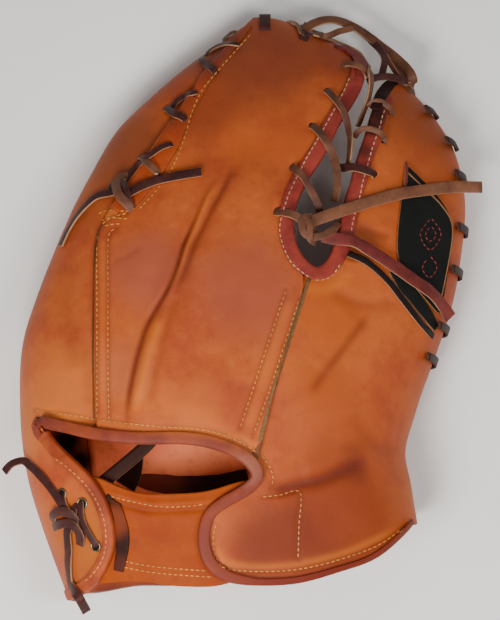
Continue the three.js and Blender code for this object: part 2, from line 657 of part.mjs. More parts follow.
// Stations along a route over the back: knots hold [x share, y share, layer].
function route(knots, steps, place = seat) {
  const points = knots.map(([x, y, layer]) => new THREE.Vector3(px(x), py(y), layerHeight(layer)));
  const curve = new THREE.CatmullRomCurve3(points, false, "centripetal");
  return spread(steps).map((t) => {
    const p = curve.getPoint(t);
    return place(p.x, p.y, p.z);
  });
}

const colours = {
  backLeather: { color: 0xb05a28, roughness: 0.5 },
  sideLeather: { color: 0xb0602c, roughness: 0.5 },
  palmLeather: { color: 0x8a4526, roughness: 0.6 },
  liningLeather: { color: 0xa0472e, roughness: 0.6 },
  edgeLeather: { color: 0x8a4838, roughness: 0.55 },
  webEdgeLeather: { color: 0x8e3226, roughness: 0.5 },
  strapLeather: { color: 0xb4602c, roughness: 0.5 },
  darkLeather: { color: 0x3a221b, roughness: 0.6 },
  labelCloth: { color: 0x161b18, roughness: 0.75 },
  laceLeather: { color: 0x4a2f2a, roughness: 0.65 },
  eyeletMetal: { color: 0x8c8578, roughness: 0.35, metalness: 1 },
};
const mitt = new THREE.Group();
function add(name, geometry, finish) {
  const mesh = new THREE.Mesh(geometry, new THREE.MeshStandardMaterial({ ...colours[finish] }));
  mesh.name = name;
  mitt.add(mesh);
  return mesh;
}

const leftSeamAt = trackOf(leftSeam, "y", "x");
const rightSeamAt = trackOf(rightSeam, "y", "x");
const openingTop = trackOf(openingEdge.slice(0, openingCorner + 1), "x", "y");
const hemLine = trackOf(openingEdge.slice(openingLobe), "x", "y");
const thumbInnerAt = trackOf(thumbInner, "y", "x");
const heelLine = trackOf(palmHeel, "x", "y");
const flapLine = trackOf(flapEdge, "y", "x");

// Plan lines that more than one piece meets.
function fingerSide(y) {
  const top = webEdge[0];
  const edge = shareOf(y) > top.y ? px(top.x) : px(fingerEdge(shareOf(y)));
  return Math.min(edge, sectionAt(y).right);
}
function backPanelRight(y) {
  const join = ease(crotchAt - 0.014, crotchAt + 0.01, shareOf(y));
  return mix(px(rightSeamAt(shareOf(y))), fingerSide(y), join);
}

function backPanel() {
  const sheet = makeSheet();
  const [across, along] = [15, 22];
  const rows = spread(along, denseAtEnd);
  const columnAt = (i, y) => {
    const left = px(leftSeamAt(shareOf(y)));
    return mix(left, Math.max(left + lap / 2, backPanelRight(y)), i / across);
  };
  sheet.patch(across, along, (i, j) => {
    let low = py(0.25);
    for (let n = 0; n < 4; n += 1) low = py(openingTop(columnAt(i, low) / halfWidth)) + seatGap;
    const y = mix(low, py(tipEnd), rows[j]);
    return backPoint(columnAt(i, y), y);
  });
  add("back_panel", wall(sheet, clearance, clearance + leather), "backLeather");
}

// The finger side runs from under the back panel's left seam round the side wall to the rim,
// and down the wrist in a round-footed flap.
function fingerSidePanel() {
  const sheet = makeSheet();
  const [wraps, narrow, wide, along, flapAlong] = [3, 4, 4, 21, 10];
  const cornerX = px(flapEdge[0].x);
  const flapColumns = wraps + narrow;
  const columnAt = (i, y) => {
    const s = sectionAt(y);
    const seam = px(leftSeamAt(shareOf(y)));
    const under = Math.min(lap, Math.max(1, (backPanelRight(y) - seam) / 4));
    const above = ease(flapEdge[0].y, flapEdge[0].y + sideBlend, shareOf(y));
    const inner = mix(cornerX, mix(s.left, seam, sideShare), above);
    if (i < wraps) return s.left - wrapLength * (1 - i / wraps);
    if (i <= flapColumns) return mix(s.left, inner, denseAtStart((i - wraps) / narrow));
    if (i <= flapColumns + wide) return mix(inner, seam, (i - flapColumns) / wide);
    return seam + under;
  };
  const dipAt = (i) => lapDip * clamp(i - flapColumns - wide + 1) * (i > flapColumns + wide ? 2 : 1);
  const cornerY = py(flapEdge[0].y);
  const rows = spread(along, denseAtEnd);
  const lowEnd = (i) => {
    if (i <= flapColumns) return cornerY;
    let low = cornerY;
    for (let n = 0; n < 4; n += 1) low = py(openingTop(columnAt(i, low) / halfWidth));
    return Math.min(low, cornerY);
  };
  sheet.patch(flapColumns + wide + 1, along, (i, j) => {
    const y = mix(lowEnd(i), py(sideEnd), rows[j]);
    return raised(columnAt(i, y), y, -dipAt(i));
  });
  const foot = py(flapEdge[flapEdge.length - 1].y);
  sheet.patch(flapColumns, flapAlong, (i, j) => {
    if (j === flapAlong) return backPoint(columnAt(i, cornerY), cornerY);
    const y = mix(foot, cornerY, denseAtStart(j / flapAlong));
    const s = sectionAt(y);
    if (i < wraps) return backPoint(s.left - wrapLength * (1 - i / wraps), y);
    const edge = Math.max(s.left + leather, px(flapLine(shareOf(y))));
    return backPoint(mix(s.left, edge, denseAtStart((i - wraps) / narrow)), y);
  });
  add("finger_side_panel", wall(sheet, -leather, 0), "sideLeather");
}

// The thumb side runs from under the back panel's right seam and the web slit's thumb edge to
// the rim, and down to the hem of the wrist flap.
function thumbPanel() {
  const sheet = makeSheet();
  const [across, wraps] = [9, 3];
  const hemTop = thumbInner[hemRow].y;
  const rows = [
    ...spread(7).map((t) => mix(thumbInner[0].y, hemTop, t)),
    ...stretch(spread(8).slice(1), hemTop, crotchAt - 0.012),
    ...stretch(spread(12, (t) => t ** 1.35), crotchAt, thumbTip),
  ];
  sheet.patch(across + wraps, rows.length - 1, (i, j) => {
    const share = denseAtEnd(clamp(i / across));
    const up = clamp((rows[j] - thumbInner[0].y) / (hemTop - thumbInner[0].y));
    const columnAt = (y) => {
      const { right } = sectionAt(y);
      return mix(Math.min(px(thumbInnerAt(rows[j])), right - leather), right, share);
    };
    let y = py(rows[j]);
    for (let n = 0; n < 8 && up < 1; n += 1) {
      y = mix(py(hemLine(columnAt(y) / halfWidth)) + edgeRoom, py(hemTop), up);
    }
    const past = (wrapLength * Math.max(0, i - across)) / wraps;
    return backPoint(columnAt(y) + past, y);
  });
  add("thumb_panel", wall(sheet, -leather, 0), "sideLeather");
}

// The palm is padded and in two halves that join below the web slit. Its lining covers the
// inside that shows at the wrist, on the same grid.
function palm() {
  const midAt = track(palmMiddle, "y", "x");
  const rimSteps = [0, 4, 9, curlWidth, pocketMargin];
  const [inward, below, fingers, thumb] = [6, 11, 12, 9];
  const rims = rimSteps.length - 1;
  const halves = [
    { far: (s) => s.leftRim, near: (y) => fingerSide(y), top: sideEnd, along: fingers },
    { far: (s) => s.rightRim, near: (y) => px(thumbEdge(shareOf(y))), top: thumbTip, along: thumb },
  ];
  const columnAt = (half, i, y) => {
    const far = half.far(sectionAt(y));
    const near = shareOf(y) > crotchAt ? half.near(y) : px(midAt(shareOf(y)));
    const room = Math.abs(near - far);
    const step = (n) => rimSteps[n] * Math.min(1, room / (3 * pocketMargin));
    const reach = i <= rims ? step(i) : mix(step(rims), room, (i - rims) / inward);
    return far + Math.sign(near - far) * reach;
  };
  const heelOf = (half, i) => py(heelLine(columnAt(half, i, py(0.05)) / halfWidth));
  const lowerPoint = (half, i, j) => {
    const y = mix(heelOf(half, i), py(crotchAt), j / below);
    return new THREE.Vector3(columnAt(half, i, y), y, 0);
  };
  const upperPoint = (half, i, j) => {
    const y = mix(py(crotchAt), py(half.top), denseAtEnd(j / half.along));
    return new THREE.Vector3(columnAt(half, i, y), y, 0);
  };
  const count = rims + inward;
  const order = [(i) => i, (i) => count - i];
  const sheet = makeSheet();
  const lining = makeSheet();
  halves.forEach((half, side) => {
    sheet.patch(count, below, (i, j) => lowerPoint(half, order[side](i), j));
    sheet.patch(count, half.along, (i, j) => upperPoint(half, order[side](i), j));
    const from = side === 0 ? rims : 0;
    lining.patch(inward, liningRows, (i, j) => {
      const p = lowerPoint(half, order[side](i + from), j + 1);
      return new THREE.Vector3(p.x, p.y, palmHigh(p.x, p.y));
    });
  });
  const high = sheet.points.map((p) => new THREE.Vector3(p.x, p.y, palmHigh(p.x, p.y)));
  const low = sheet.points.map((p) => new THREE.Vector3(p.x, p.y, palmLow(p.x, p.y)));
  add("palm", closeBetween(sheet.faces, high, low), "palmLeather");
  add("palm_lining", wall(lining, clearance, clearance + liningThickness), "liningLeather");
}

function wristStrap() {
  const sheet = makeSheet();
  const [across, along] = [14, 6];
  const top = track(strapTop, "x", "y");
  const foot = track(strapFoot, "x", "y");
  const [from, to] = [strapTop[0].x, strapTop[strapTop.length - 1].x];
  sheet.patch(across, along, (i, j) => {
    const x = mix(from, to, i / across);
    return backPoint(px(x), mix(py(foot(x)), py(top(x)), j / along));
  });
  const upper = -leather - strapGap;
  add("wrist_strap", wall(sheet, upper - strapThickness, upper), "strapLeather");
}

function bindings() {
  const opening = openingEdge.map((p) => [p.x, p.y, p.over]);
  const roll = bindingSection(bindingLeaf, openSide);
  add("opening_binding", sweep(route(opening, 46, hug), roll), "edgeLeather");
  const flap = flapEdge.slice(1).map((p) => [p.x, p.y, 0]);
  const flapRoll = bindingSection(bindingLeaf, -openSide);
  add("flap_binding", sweep(route(flap, 22, hug), flapRoll), "edgeLeather");
  const web = webEdge.map((p, i) => [p.x, p.y, clamp(webTurn + 0.7 - i)]);
  const webRoll = bindingSection(webLeaf, -openSide);
  add("web_binding", sweep(route(web, 38, hug), webRoll), "webEdgeLeather");
}

function label() {
  const sheet = makeSheet();
  const [across, along] = [6, 8];
  const left = trackOf(labelLeft, "y", "x");
  const right = trackOf(labelRight, "y", "x");
  const [low, high] = [labelLeft[labelLeft.length - 1].y, labelLeft[0].y];
  sheet.patch(across, along, (i, j) => {
    const y = mix(low, high, j / along);
    const x = mix(left(y), right(y), i / across);
    return backPoint(px(x), py(y));
  });
  add("thumb_label", wall(sheet, seatGap, seatGap + labelThickness), "labelCloth");
}

// Laces that run over a rim start on the panel and end low on the side wall.
function rimLaces() {
  rimLaceRows.forEach((y, n) => {
    const { right } = sectionAt(py(y));
    const stations = spread(5).map((t) => {
      const u = right + mix(-rimLaceInset, wrapLength - laceWidth, t);
      return hug(u, py(y), layerHeight(Math.max(rimLaceLayer, 1 - clamp(rimLaceDrop * t))));
    });
    add(`rim_lace_${n + 1}`, sweep(stations, stripSection(laceWidth, laceThickness)), "laceLeather");
  });
}

function laces() {
  laceRoutes.forEach(({ name, wide, steps, knots }) => {
    const section = stripSection(wide, laceThickness);
    add(name, sweep(route(knots, steps), section), "laceLeather");
  });
}

function laceKnots() {
  knotPlaces.forEach(({ name, x, y, layer, turn }) => {
    const lift = layerHeight(layer) + knotHeight / 2;
    const ball = new THREE.SphereGeometry(1, 10, 6);
    ball.scale(knotLength / 2, knotWidth / 2, knotHeight / 2);
    const mesh = add(name, ball, "laceLeather");
    mesh.position.copy(raised(px(x), py(y), lift));
    mesh.quaternion.setFromUnitVectors(new THREE.Vector3(0, 0, 1), backNormal(px(x), py(y)));
    mesh.rotateZ(turn);
  });
}

function eyelets() {
  eyeletPlaces.forEach(({ x, y, sunk }, n) => {
    const ring = new THREE.TorusGeometry(eyeletRadius, eyeletWire, 5, 12);
    const lift = clearance + eyeletWire - sunk * (leather + strapGap);
    const mesh = add(`eyelet_${n + 1}`, ring, "eyeletMetal");
    mesh.position.copy(raised(px(x), py(y), lift));
    mesh.quaternion.setFromUnitVectors(new THREE.Vector3(0, 0, 1), backNormal(px(x), py(y)));
  });
}

palm();
fingerSidePanel();
thumbPanel();
backPanel();
wristStrap();
bindings();
label();
laces();
laceKnots();
rimLaces();
eyelets();

// The origin is under the middle of the whole mitt, on the surface that it lies on.
const bounds = new THREE.Box3().setFromObject(mitt, true);
const middle = bounds.getCenter(new THREE.Vector3());
mitt.position.set(-middle.x, -middle.y, -bounds.min.z);
mitt.updateMatrixWorld(true);
export default mitt;
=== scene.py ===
import math
import bmesh
import bpy
import numpy
from mathutils import Matrix, Vector, noise
from mathutils.bvhtree import BVHTree


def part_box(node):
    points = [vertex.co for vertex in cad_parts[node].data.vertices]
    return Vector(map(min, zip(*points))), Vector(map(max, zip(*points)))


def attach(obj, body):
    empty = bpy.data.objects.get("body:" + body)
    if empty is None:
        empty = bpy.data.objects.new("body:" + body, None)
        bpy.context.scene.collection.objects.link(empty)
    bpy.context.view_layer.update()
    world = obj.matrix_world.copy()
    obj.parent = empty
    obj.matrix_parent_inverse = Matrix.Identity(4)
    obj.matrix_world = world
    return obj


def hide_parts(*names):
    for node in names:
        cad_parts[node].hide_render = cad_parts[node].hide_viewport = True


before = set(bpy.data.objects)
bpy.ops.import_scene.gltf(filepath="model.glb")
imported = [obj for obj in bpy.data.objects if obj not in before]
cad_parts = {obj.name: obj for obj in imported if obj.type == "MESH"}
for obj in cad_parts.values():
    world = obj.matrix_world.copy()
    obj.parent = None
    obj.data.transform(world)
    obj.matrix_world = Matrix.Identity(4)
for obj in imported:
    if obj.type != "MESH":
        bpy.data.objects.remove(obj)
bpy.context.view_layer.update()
mm = 0.001

# The camera, and how the photo's pixels and the mitt's own space answer each other
view = {
    "elevation": 80.0, "distance": 3.0, "target": (2.2, -3.6, 45.0),
    "pixel": 0.54, "width": 500, "height": 620, "sensor": 36.0,
}
tilt = math.radians(view["elevation"])
ahead = Vector((0, math.cos(tilt), -math.sin(tilt)))
upward = Vector((0, math.sin(tilt), math.cos(tilt)))
target = Vector(view["target"]) * mm
eye = target - ahead * view["distance"]
pixelSize = view["pixel"] * mm


def setCamera():
    lens = bpy.data.cameras.new("camera")
    lens.sensor_width = view["sensor"]
    lens.lens = view["sensor"] * view["distance"] / (view["height"] * pixelSize)
    lens.clip_end = 20
    stand = bpy.data.objects.new("camera", lens)
    stand.location = eye
    stand.rotation_euler = (math.pi / 2 - tilt, 0, 0)
    bpy.context.scene.collection.objects.link(stand)
    bpy.context.scene.camera = stand


def rayThrough(x, y):
    across = (x - view["width"] / 2) * pixelSize
    rise = (view["height"] / 2 - y) * pixelSize
    spot = target + Vector((across, 0, 0)) + upward * rise
    return (spot - eye).normalized()


def pixelsOf(places):
    # where each point of an array of places shows in the photo
    away = places - numpy.array(eye)
    scale = view["distance"] / (away @ numpy.array(ahead)) / pixelSize
    x = view["width"] / 2 + away[:, 0] * scale
    y = view["height"] / 2 - (away @ numpy.array(upward)) * scale
    return numpy.stack([x, y], axis=1)


setCamera()


# Shader maths: a Wire is a socket that adds and multiplies as a number does
class Wire:
    def __init__(self, finish, socket):
        self.finish = finish
        self.socket = socket

    def maths(self, operation, first, second):
        return self.finish.node("Math", {"operation": operation}, {0: first, 1: second})

    def __add__(self, other):
        return self.maths("ADD", self, other)

    def __radd__(self, other):
        return self.maths("ADD", other, self)

    def __sub__(self, other):
        return self.maths("SUBTRACT", self, other)

    def __mul__(self, other):
        return self.maths("MULTIPLY", self, other)


class Finish:
    def __init__(self, name):
        self.material = bpy.data.materials.new(name)
        self.material.use_nodes = True
        self.tree = self.material.node_tree
        self.shader = self.tree.nodes["Principled BSDF"]
        self.place = self.node("TexCoord", output="Object")

    def feed(self, socket, value):
        # a wire, a colour as the eye reads it, or a plain value
        if isinstance(value, Wire):
            self.tree.links.new(value.socket, socket)
        else:
            socket.default_value = rgb(*value) if isinstance(value, tuple) else value

    def node(self, kind, settings=None, values=None, output=0):
        made = self.tree.nodes.new("ShaderNode" + kind)
        for name, value in (settings or {}).items():
            setattr(made, name, value)
        for name, value in (values or {}).items():
            self.feed(made.inputs[name], value)
        return Wire(self, made.outputs[output])

    def blend(self, share, first, second, way="MIX"):
        colours = {0: share, 6: first, 7: second}
        return self.node("Mix", {"data_type": "RGBA", "blend_type": way}, colours, 2)

    def spread(self, value, low, high, start=0.0, end=1.0):
        limits = {"Value": value, "From Min": low, "From Max": high, "To Min": start, "To Max": end}
        return self.node("MapRange", {"interpolation_type": "SMOOTHSTEP"}, limits)

    def grain(self, scale, detail=3.0, rough=0.55):
        values = {"Vector": self.place, "Scale": scale, "Detail": detail, "Roughness": rough}
        return self.node("TexNoise", {}, values)

    def mark(self, name):
        return self.node("Attribute", {"attribute_name": name}, output="Fac")

    def sheen(self, value):
        self.feed(self.shader.inputs["Specular IOR Level"], value)

    def close(self, colour, rough, bump=None, height=0.3, strength=0.6):
        self.feed(self.shader.inputs["Base Color"], colour)
        self.feed(self.shader.inputs["Roughness"], rough)
        if bump:
            values = {"Height": bump, "Distance": height * mm, "Strength": strength}
            self.feed(self.shader.inputs["Normal"], self.node("Bump", {}, values))
        return self.material


def rgb(red, green, blue):
    # a colour as the eye reads it, made linear
    shares = [value / 255 for value in (red, green, blue)]
    linear = [((v + 0.055) / 1.055) ** 2.4 if v > 10 / 255 else v / 12.92 for v in shares]
    return (*linear, 1.0)


# Making and placing meshes
def newObject(name, mesh):
    made = bpy.data.objects.new(name, mesh)
    bpy.context.scene.collection.objects.link(made)
    return made


def meshFrom(shape, name):
    mesh = bpy.data.meshes.new(name)
    shape.to_mesh(mesh)
    shape.free()
    return mesh


def coordinatesOf(mesh):
    flat = numpy.zeros(len(mesh.vertices) * 3)
    mesh.vertices.foreach_get("co", flat)
    return flat.reshape(-1, 3)


def moveTo(mesh, places):
    mesh.vertices.foreach_set("co", places.ravel())
    mesh.update()


def settle(made, materials, replaced=(), sharpAngle=50):
    # gives a finished piece its materials and its body, and hides the CAD nodes it replaces
    parts = [min(face.material_index, len(materials) - 1) for face in made.data.polygons]
    made.data.materials.clear()
    for material in materials:
        made.data.materials.append(material)
    made.data.polygons.foreach_set("material_index", parts)
    made.data.shade_smooth()
    made.data.set_sharp_from_angle(angle=math.radians(sharpAngle))
    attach(made, "root")
    if replaced:
        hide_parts(*replaced)
    return made


def evaluated(made):
    # the mesh with its modifiers applied
    graph = bpy.context.evaluated_depsgraph_get()
    mesh = bpy.data.meshes.new_from_object(made.evaluated_get(graph))
    old = made.data
    made.modifiers.clear()
    made.data = mesh
    bpy.data.meshes.remove(old)
    return made


# Where the soft outline is drawn out or in a little: centre and reach in the photo's pixels,
# shift in mm, and the pieces it is for when it isn't for all
nudges = [
    {"at": (258, 22), "reach": (34, 30), "shift": (0.0, 5.2, 0.0)},
    {"at": (122, 128), "reach": (42, 42), "shift": (-2.4, 2.2, 0.0)},
    {"at": (140, 600), "reach": (34, 22), "shift": (0.0, 5.0, 0.0), "nodes": ("palm", "palm_lining")},
    {"at": (345, 584), "reach": (42, 26), "shift": (0.0, 4.6, 0.0)},
    {"at": (406, 548), "reach": (28, 30), "shift": (1.2, 5.0, 0.0)},
    {"at": (411, 452), "reach": (34, 26), "shift": (-3.8, 0.0, 0.0)},
]


def nudged(made, node):
    # a copy of a node with its outline drawn out or in
    places = coordinatesOf(made.data)
    pixels = pixelsOf(places)
    for nudge in nudges:
        if node in nudge.get("nodes", (node,)):
            away = (pixels - numpy.array(nudge["at"])) / numpy.array(nudge["reach"])
            share = numpy.exp(-(away**2).sum(axis=1))
            places += share[:, None] * numpy.array(nudge["shift"]) * mm
    moveTo(made.data, places)
    return made


# How CAD meshes are cleaned: how near corners are joined and how wide a cut edge is, in mm, and
# the angles in degrees within which triangles are joined
cleaning = {"weld": 0.02, "flatness": 50, "skew": 60, "cutEdge": 3.4}


def cadCopy(node, name, levels, crease=1.0, creaseAngle=55):
    # a CAD node's mesh as clean four-sided faces, rounded by subdivision
    shape = bmesh.new()
    shape.from_mesh(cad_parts[node].data)
    bmesh.ops.remove_doubles(shape, verts=shape.verts, dist=cleaning["weld"] * mm)
    bmesh.ops.join_triangles(
        shape, faces=shape.faces, angle_face_threshold=math.radians(cleaning["flatness"]),
        angle_shape_threshold=math.radians(cleaning["skew"]),
    )
    layer = shape.edges.layers.float.new("crease_edge")
    limit = math.radians(creaseAngle)
    for edge in shape.edges:
        if edge.is_manifold and edge.calc_face_angle() > limit:
            edge[layer] = crease
    for face in shape.faces:
        creased = sum(edge[layer] > 0 for edge in face.edges)
        width = face.calc_area() / max(edge.calc_length() for edge in face.edges)
        face.material_index = 1 if creased >= 2 and width < cleaning["cutEdge"] * mm else 0
    made = newObject(name, meshFrom(shape, name))
    rounding = made.modifiers.new("rounding", "SUBSURF")
    rounding.levels = levels
    rounding.render_levels = levels
    return nudged(evaluated(made), node)


def smoothRoute(points, steps=5):
    # a smooth line through given points
    ends = [points[0], *points, points[-1]]
    line = []
    for i in range(len(points) - 1):
        a, b, c, d = (numpy.array(ends[i + k], float) for k in range(4))
        for k in range(steps):
            t = k / steps
            line.append(
                0.5 * (2 * b + (c - a) * t + (2 * a - 5 * b + 4 * c - d) * t**2
                       + (3 * b - a - 3 * c + d) * t**3)
            )
    line.append(numpy.array(points[-1], float))
    return numpy.array(line)


def nearTo(places, line):
    # distance of each place from a line, and how far along the line it is, 0 to 1
    nearest = numpy.full(len(places), 1e9)
    along = numpy.zeros(len(places))
    count = len(line) - 1
    for i in range(count):
        start = line[i]
        run = line[i + 1] - start
        share = numpy.clip((places - start) @ run / max(run @ run, 1e-9), 0, 1)
        gap = numpy.linalg.norm(places - start - share[:, None] * run, axis=1)
        closer = gap < nearest
        nearest[closer] = gap[closer]
        along[closer] = (i + share[closer]) / count
    return nearest, along


# Folds of the back: depth and width in mm (a ridge has depth below zero), how much painted shade darkens
# the fold, and its route in the photo's pixels
folds = [
    [2.0, 1.8, 1.0, (209, 186), (193, 223), (183, 245), (177, 266), (169, 286), (157, 306), (147, 324),
     (141, 341), (135, 363), (130, 387), (127, 410), (126, 436)],
    [1.4, 9.0, 0.1, (200, 190), (186, 222), (172, 256), (158, 286), (142, 322), (130, 360), (120, 408)],
    [1.4, 2.2, 0.75, (236, 160), (224, 187), (212, 209), (202, 229), (194, 244), (186, 266), (174, 296)],
    [-1.5, 2.0, 0.0, (220, 176), (207, 200), (197, 222), (189, 240), (182, 262), (172, 284), (160, 308)],
    [-2.2, 12.0, 0.0, (262, 150), (246, 172), (232, 200), (222, 232), (214, 268), (204, 310),
     (190, 360)],
    [-0.8, 2.6, 0.0, (164, 308), (156, 330), (149, 352), (143, 376), (137, 402)],
    [-0.6, 3.0, 0.0, (150, 335), (144, 365), (138, 400)],
    [0.7, 3.0, 0.3, (180, 290), (166, 330), (156, 370), (150, 405)],
    [0.4, 2.0, 0.25, (112, 262), (128, 256), (142, 246)],
    [1.4, 3.0, 0.6, (372, 310), (356, 332), (338, 356), (324, 374), (310, 394)],
    [-1.2, 6.0, 0.0, (360, 316), (338, 344), (318, 370)],
    [2.3, 4.2, 1.0, (268, 492), (295, 485), (325, 478), (348, 468), (372, 458)],
    [-1.4, 8.0, 0.0, (300, 470), (340, 458), (380, 446)],
    [1.6, 4.0, 0.4, (346, 230), (354, 244), (350, 262)],
    [0.9, 3.0, 0.3, (356, 226), (372, 232), (392, 236)],
    [1.3, 7.0, 0.25, (70, 250), (66, 290), (68, 330), (76, 372)],
    [0.8, 4.0, 0.2, (84, 330), (86, 370), (90, 405)],
    [1.1, 4.0, 0.3, (330, 288), (352, 300), (374, 304), (396, 298)],
    [1.2, 3.0, 0.35, (45, 432), (52, 446), (66, 458)],
    [1.0, 6.0, 0.25, (350, 410), (370, 440), (398, 452)],
]

# Lighter bands: those along the ridges of folds are painted highlights, the others run along the
# opening's edge, the hem, between the seams' stitch rows and across the back. Width in mm, how light,
# and the route in the photo's pixels
paleBandsAndHighlights = [
    [2.6, 0.55, (35, 407), (60, 414), (100, 421), (150, 428), (190, 429), (230, 438), (254, 449),
     (270, 468)],
    [2.2, 0.45, (216, 545), (226, 562), (260, 567), (300, 564), (350, 551), (402, 526)],
    # these two run along the ridges of folds: painted highlights
    [1.4, 0.5, (216, 184), (204, 206), (194, 228), (186, 248), (178, 270), (168, 290)],
    [2.6, 0.6, (160, 318), (152, 340), (145, 364), (139, 390), (136, 416)],
    [2.6, 0.25, (290, 300), (276, 340), (261, 388), (246, 432)],
    [2.2, 0.25, (103, 236), (102, 300), (102, 360), (103, 418)],
    [3.0, 0.4, (300, 286), (318, 290), (338, 284), (352, 272)],
    [2.6, 0.5, (100, 216), (112, 214), (126, 214)],
    [5.0, 0.15, (110, 404), (150, 408), (190, 410), (226, 418)],
]

# Where laces go through the leather, in the photo's pixels
laceHoles = [
    (326, 91), (311, 126), (292, 168), (276, 212), (374, 175), (391, 113), (384, 141),
    (344, 66), (237, 45), (214, 71), (194, 94), (184, 118), (170, 145), (158, 173), (167, 109),
]
dimple = {"depth": 0.9, "width": 3.0}
undulation = {"broad": 28.0, "broadHeight": 1.1, "fine": 95.0, "fineHeight": 0.22}

# How a fold, a pale band or highlight and the drawn hem fade towards their ends, as shares of their
# lengths, and how many times narrower than the fold its painted dark line is
taper = {"fold": 0.18, "pale_band_and_highlight": 0.1, "hem": 0.15, "shade": 1.3}


def bell(ratio):
    return numpy.exp(-(ratio**2))


def fadeIn(along, reach):
    # 0 at both ends of a line and 1 from its share reach on
    return numpy.clip(numpy.minimum(along, 1 - along) / reach, 0, 1)


def foldField(pixels, chosen):
    # how far the folds push the leather down, in mm, and the painted shade along them
    sink = numpy.zeros(len(pixels))
    shade = numpy.zeros(len(pixels))
    for depth, width, dark, *route in chosen:
        gap, along = nearTo(pixels, smoothRoute(route))
        fade = fadeIn(along, taper["fold"])
        fade = fade * fade * (3 - 2 * fade)
        ratio = gap * view["pixel"] / width
        sink += depth * bell(ratio) * fade
        shade += dark * bell(ratio * taper["shade"]) * fade
    return sink, numpy.clip(shade, 0, 1)


def shapeLeather(made, chosen=(), grooves=()):
    # folds, stitched grooves and the soft unevenness of old leather, with painted shade marked along the
    # folds and grooves and pale bands with painted highlights along the listed routes
    mesh = made.data
    places = coordinatesOf(mesh)
    pixels = pixelsOf(places)
    sink, shade = foldField(pixels, [*folds, *chosen])
    groove = numpy.zeros(len(places))
    for depth, width, route in grooves:
        gap, along = nearTo(pixels, smoothRoute(route, 3))
        groove = numpy.maximum(groove, bell(gap * view["pixel"] / width) * depth)
    pale_band_and_highlight = numpy.zeros(len(places))
    for width, light, *route in paleBandsAndHighlights:
        gap, along = nearTo(pixels, smoothRoute(route, 3))
        glow = bell(gap * view["pixel"] / width) * light
        pale_band_and_highlight = numpy.maximum(pale_band_and_highlight, glow * fadeIn(along, taper["pale_band_and_highlight"]))
    for hole in laceHoles:
        gap = numpy.linalg.norm(pixels - numpy.array(hole), axis=1)
        sink += dimple["depth"] * bell(gap * view["pixel"] / dimple["width"])
    uneven = numpy.array([
        noise.noise(Vector((x, y, 0)) * undulation["broad"]) * undulation["broadHeight"]
        + noise.noise(Vector((x, y, 0)) * undulation["fine"]) * undulation["fineHeight"]
        for x, y, z in places.tolist()
    ])
    places[:, 2] += (uneven - sink - groove) * mm
    marks = {"fold": shade, "groove": numpy.clip(groove * 3, 0, 1), "pale_band_and_highlight": pale_band_and_highlight}
    for name, values in marks.items():
        layer = mesh.attributes.new(name, "FLOAT", "POINT")
        layer.data.foreach_set("value", values)
    moveTo(mesh, places)
    return made


def markPlain(made):
    # a piece without folds still answers the leather's marks of painted fold and groove shade, and of
    # pale bands and highlights, with nothing in them
    for name in ("fold", "groove", "pale_band_and_highlight"):
        made.data.attributes.new(name, "FLOAT", "POINT")
    return made


def treeOf(pieces):
    # one search tree over several pieces
    corners = []
    faces = []
    for made in pieces:
        start = len(corners)
        corners.extend(v.co.copy() for v in made.data.vertices)
        faces.extend([start + i for i in face.vertices] for face in made.data.polygons)
    return BVHTree.FromPolygons(corners, faces)


# Leather, and how it is coloured. patches: between which values of the mottling a colour comes in, and
# how strongly. marks: the colour and the strength of what shapeLeather marks: the crease colour is
# painted shade in folds and grooves, the pale band tone is pale bands and painted highlights. Stains and
# painted shade are rows of x and y in the photo's pixels, reach in mm, colour and strength
leather = {
    "base": (182, 86, 33), "warm": (160, 66, 31), "pale": (206, 116, 50), "dark": (72, 25, 13),
    # crease is the painted shade of folds and grooves; the pale band tone lightens pale bands and
    # painted highlights
    "pale_band_and_highlight_tone": (212, 112, 30), "crease": (98, 34, 18), "broad": 22.0, "mottle": 140.0,
    "pores": 1500.0, "rough": 0.58, "sheen": 0.2, "bumpHeight": 0.22, "bumpStrength": 0.55,
    "patches": {"pale": (0.5, 0.85, 0.35), "dark": (0.5, 0.2, 0.3)},
    "marks": {"pale_band_and_highlight": ("pale_band_and_highlight_tone", 0.85), "fold": ("crease", 0.85), "groove": ("crease", 0.35)},
}
stainAndShadeEdge = {"inner": 0.25, "ragged": 1.2}


def leatherFinish(name, look, stainsAndShade=(), tree=None):
    paint = Finish(name)
    broad = paint.grain(look["broad"], 4.0)
    mottle = paint.grain(look["mottle"], 5.0, 0.65)
    colour = paint.blend(paint.spread(broad, 0.38, 0.68), look["base"], look["warm"])
    for tone, (start, full, share) in look["patches"].items():
        colour = paint.blend(paint.spread(mottle, start, full) * share, colour, look[tone])
    # stains and painted shade, each fading out over its reach
    for x, y, radius, tone, share in stainsAndShade:
        values = {0: paint.place, 1: onLeather(x, y, tree)[0]}
        away = paint.node("VectorMath", {"operation": "DISTANCE"}, values, "Value")
        away = away + (broad - 0.5) * (radius * stainAndShadeEdge["ragged"] * mm)
        reach = paint.spread(away, radius * mm, radius * stainAndShadeEdge["inner"] * mm, 0.0, share)
        colour = paint.blend(reach, colour, tone)
    # painted shade in folds and grooves, and pale bands with painted highlights
    for mark, (tone, share) in look["marks"].items():
        colour = paint.blend(paint.mark(mark) * share, colour, look[tone])
    values = {"Vector": paint.place, "Scale": look["pores"]}
    pores = paint.node("TexVoronoi", {"feature": "SMOOTH_F1"}, values)
    wrinkle = paint.grain(look["mottle"] * 3.5, 6.0, 0.7)
    bump = pores * 0.5 + wrinkle * 0.9
    rough = look["rough"] + (mottle - 0.5) * 0.25
    paint.sheen(look["sheen"])
    return paint.close(colour, rough, bump, look["bumpHeight"], look["bumpStrength"])


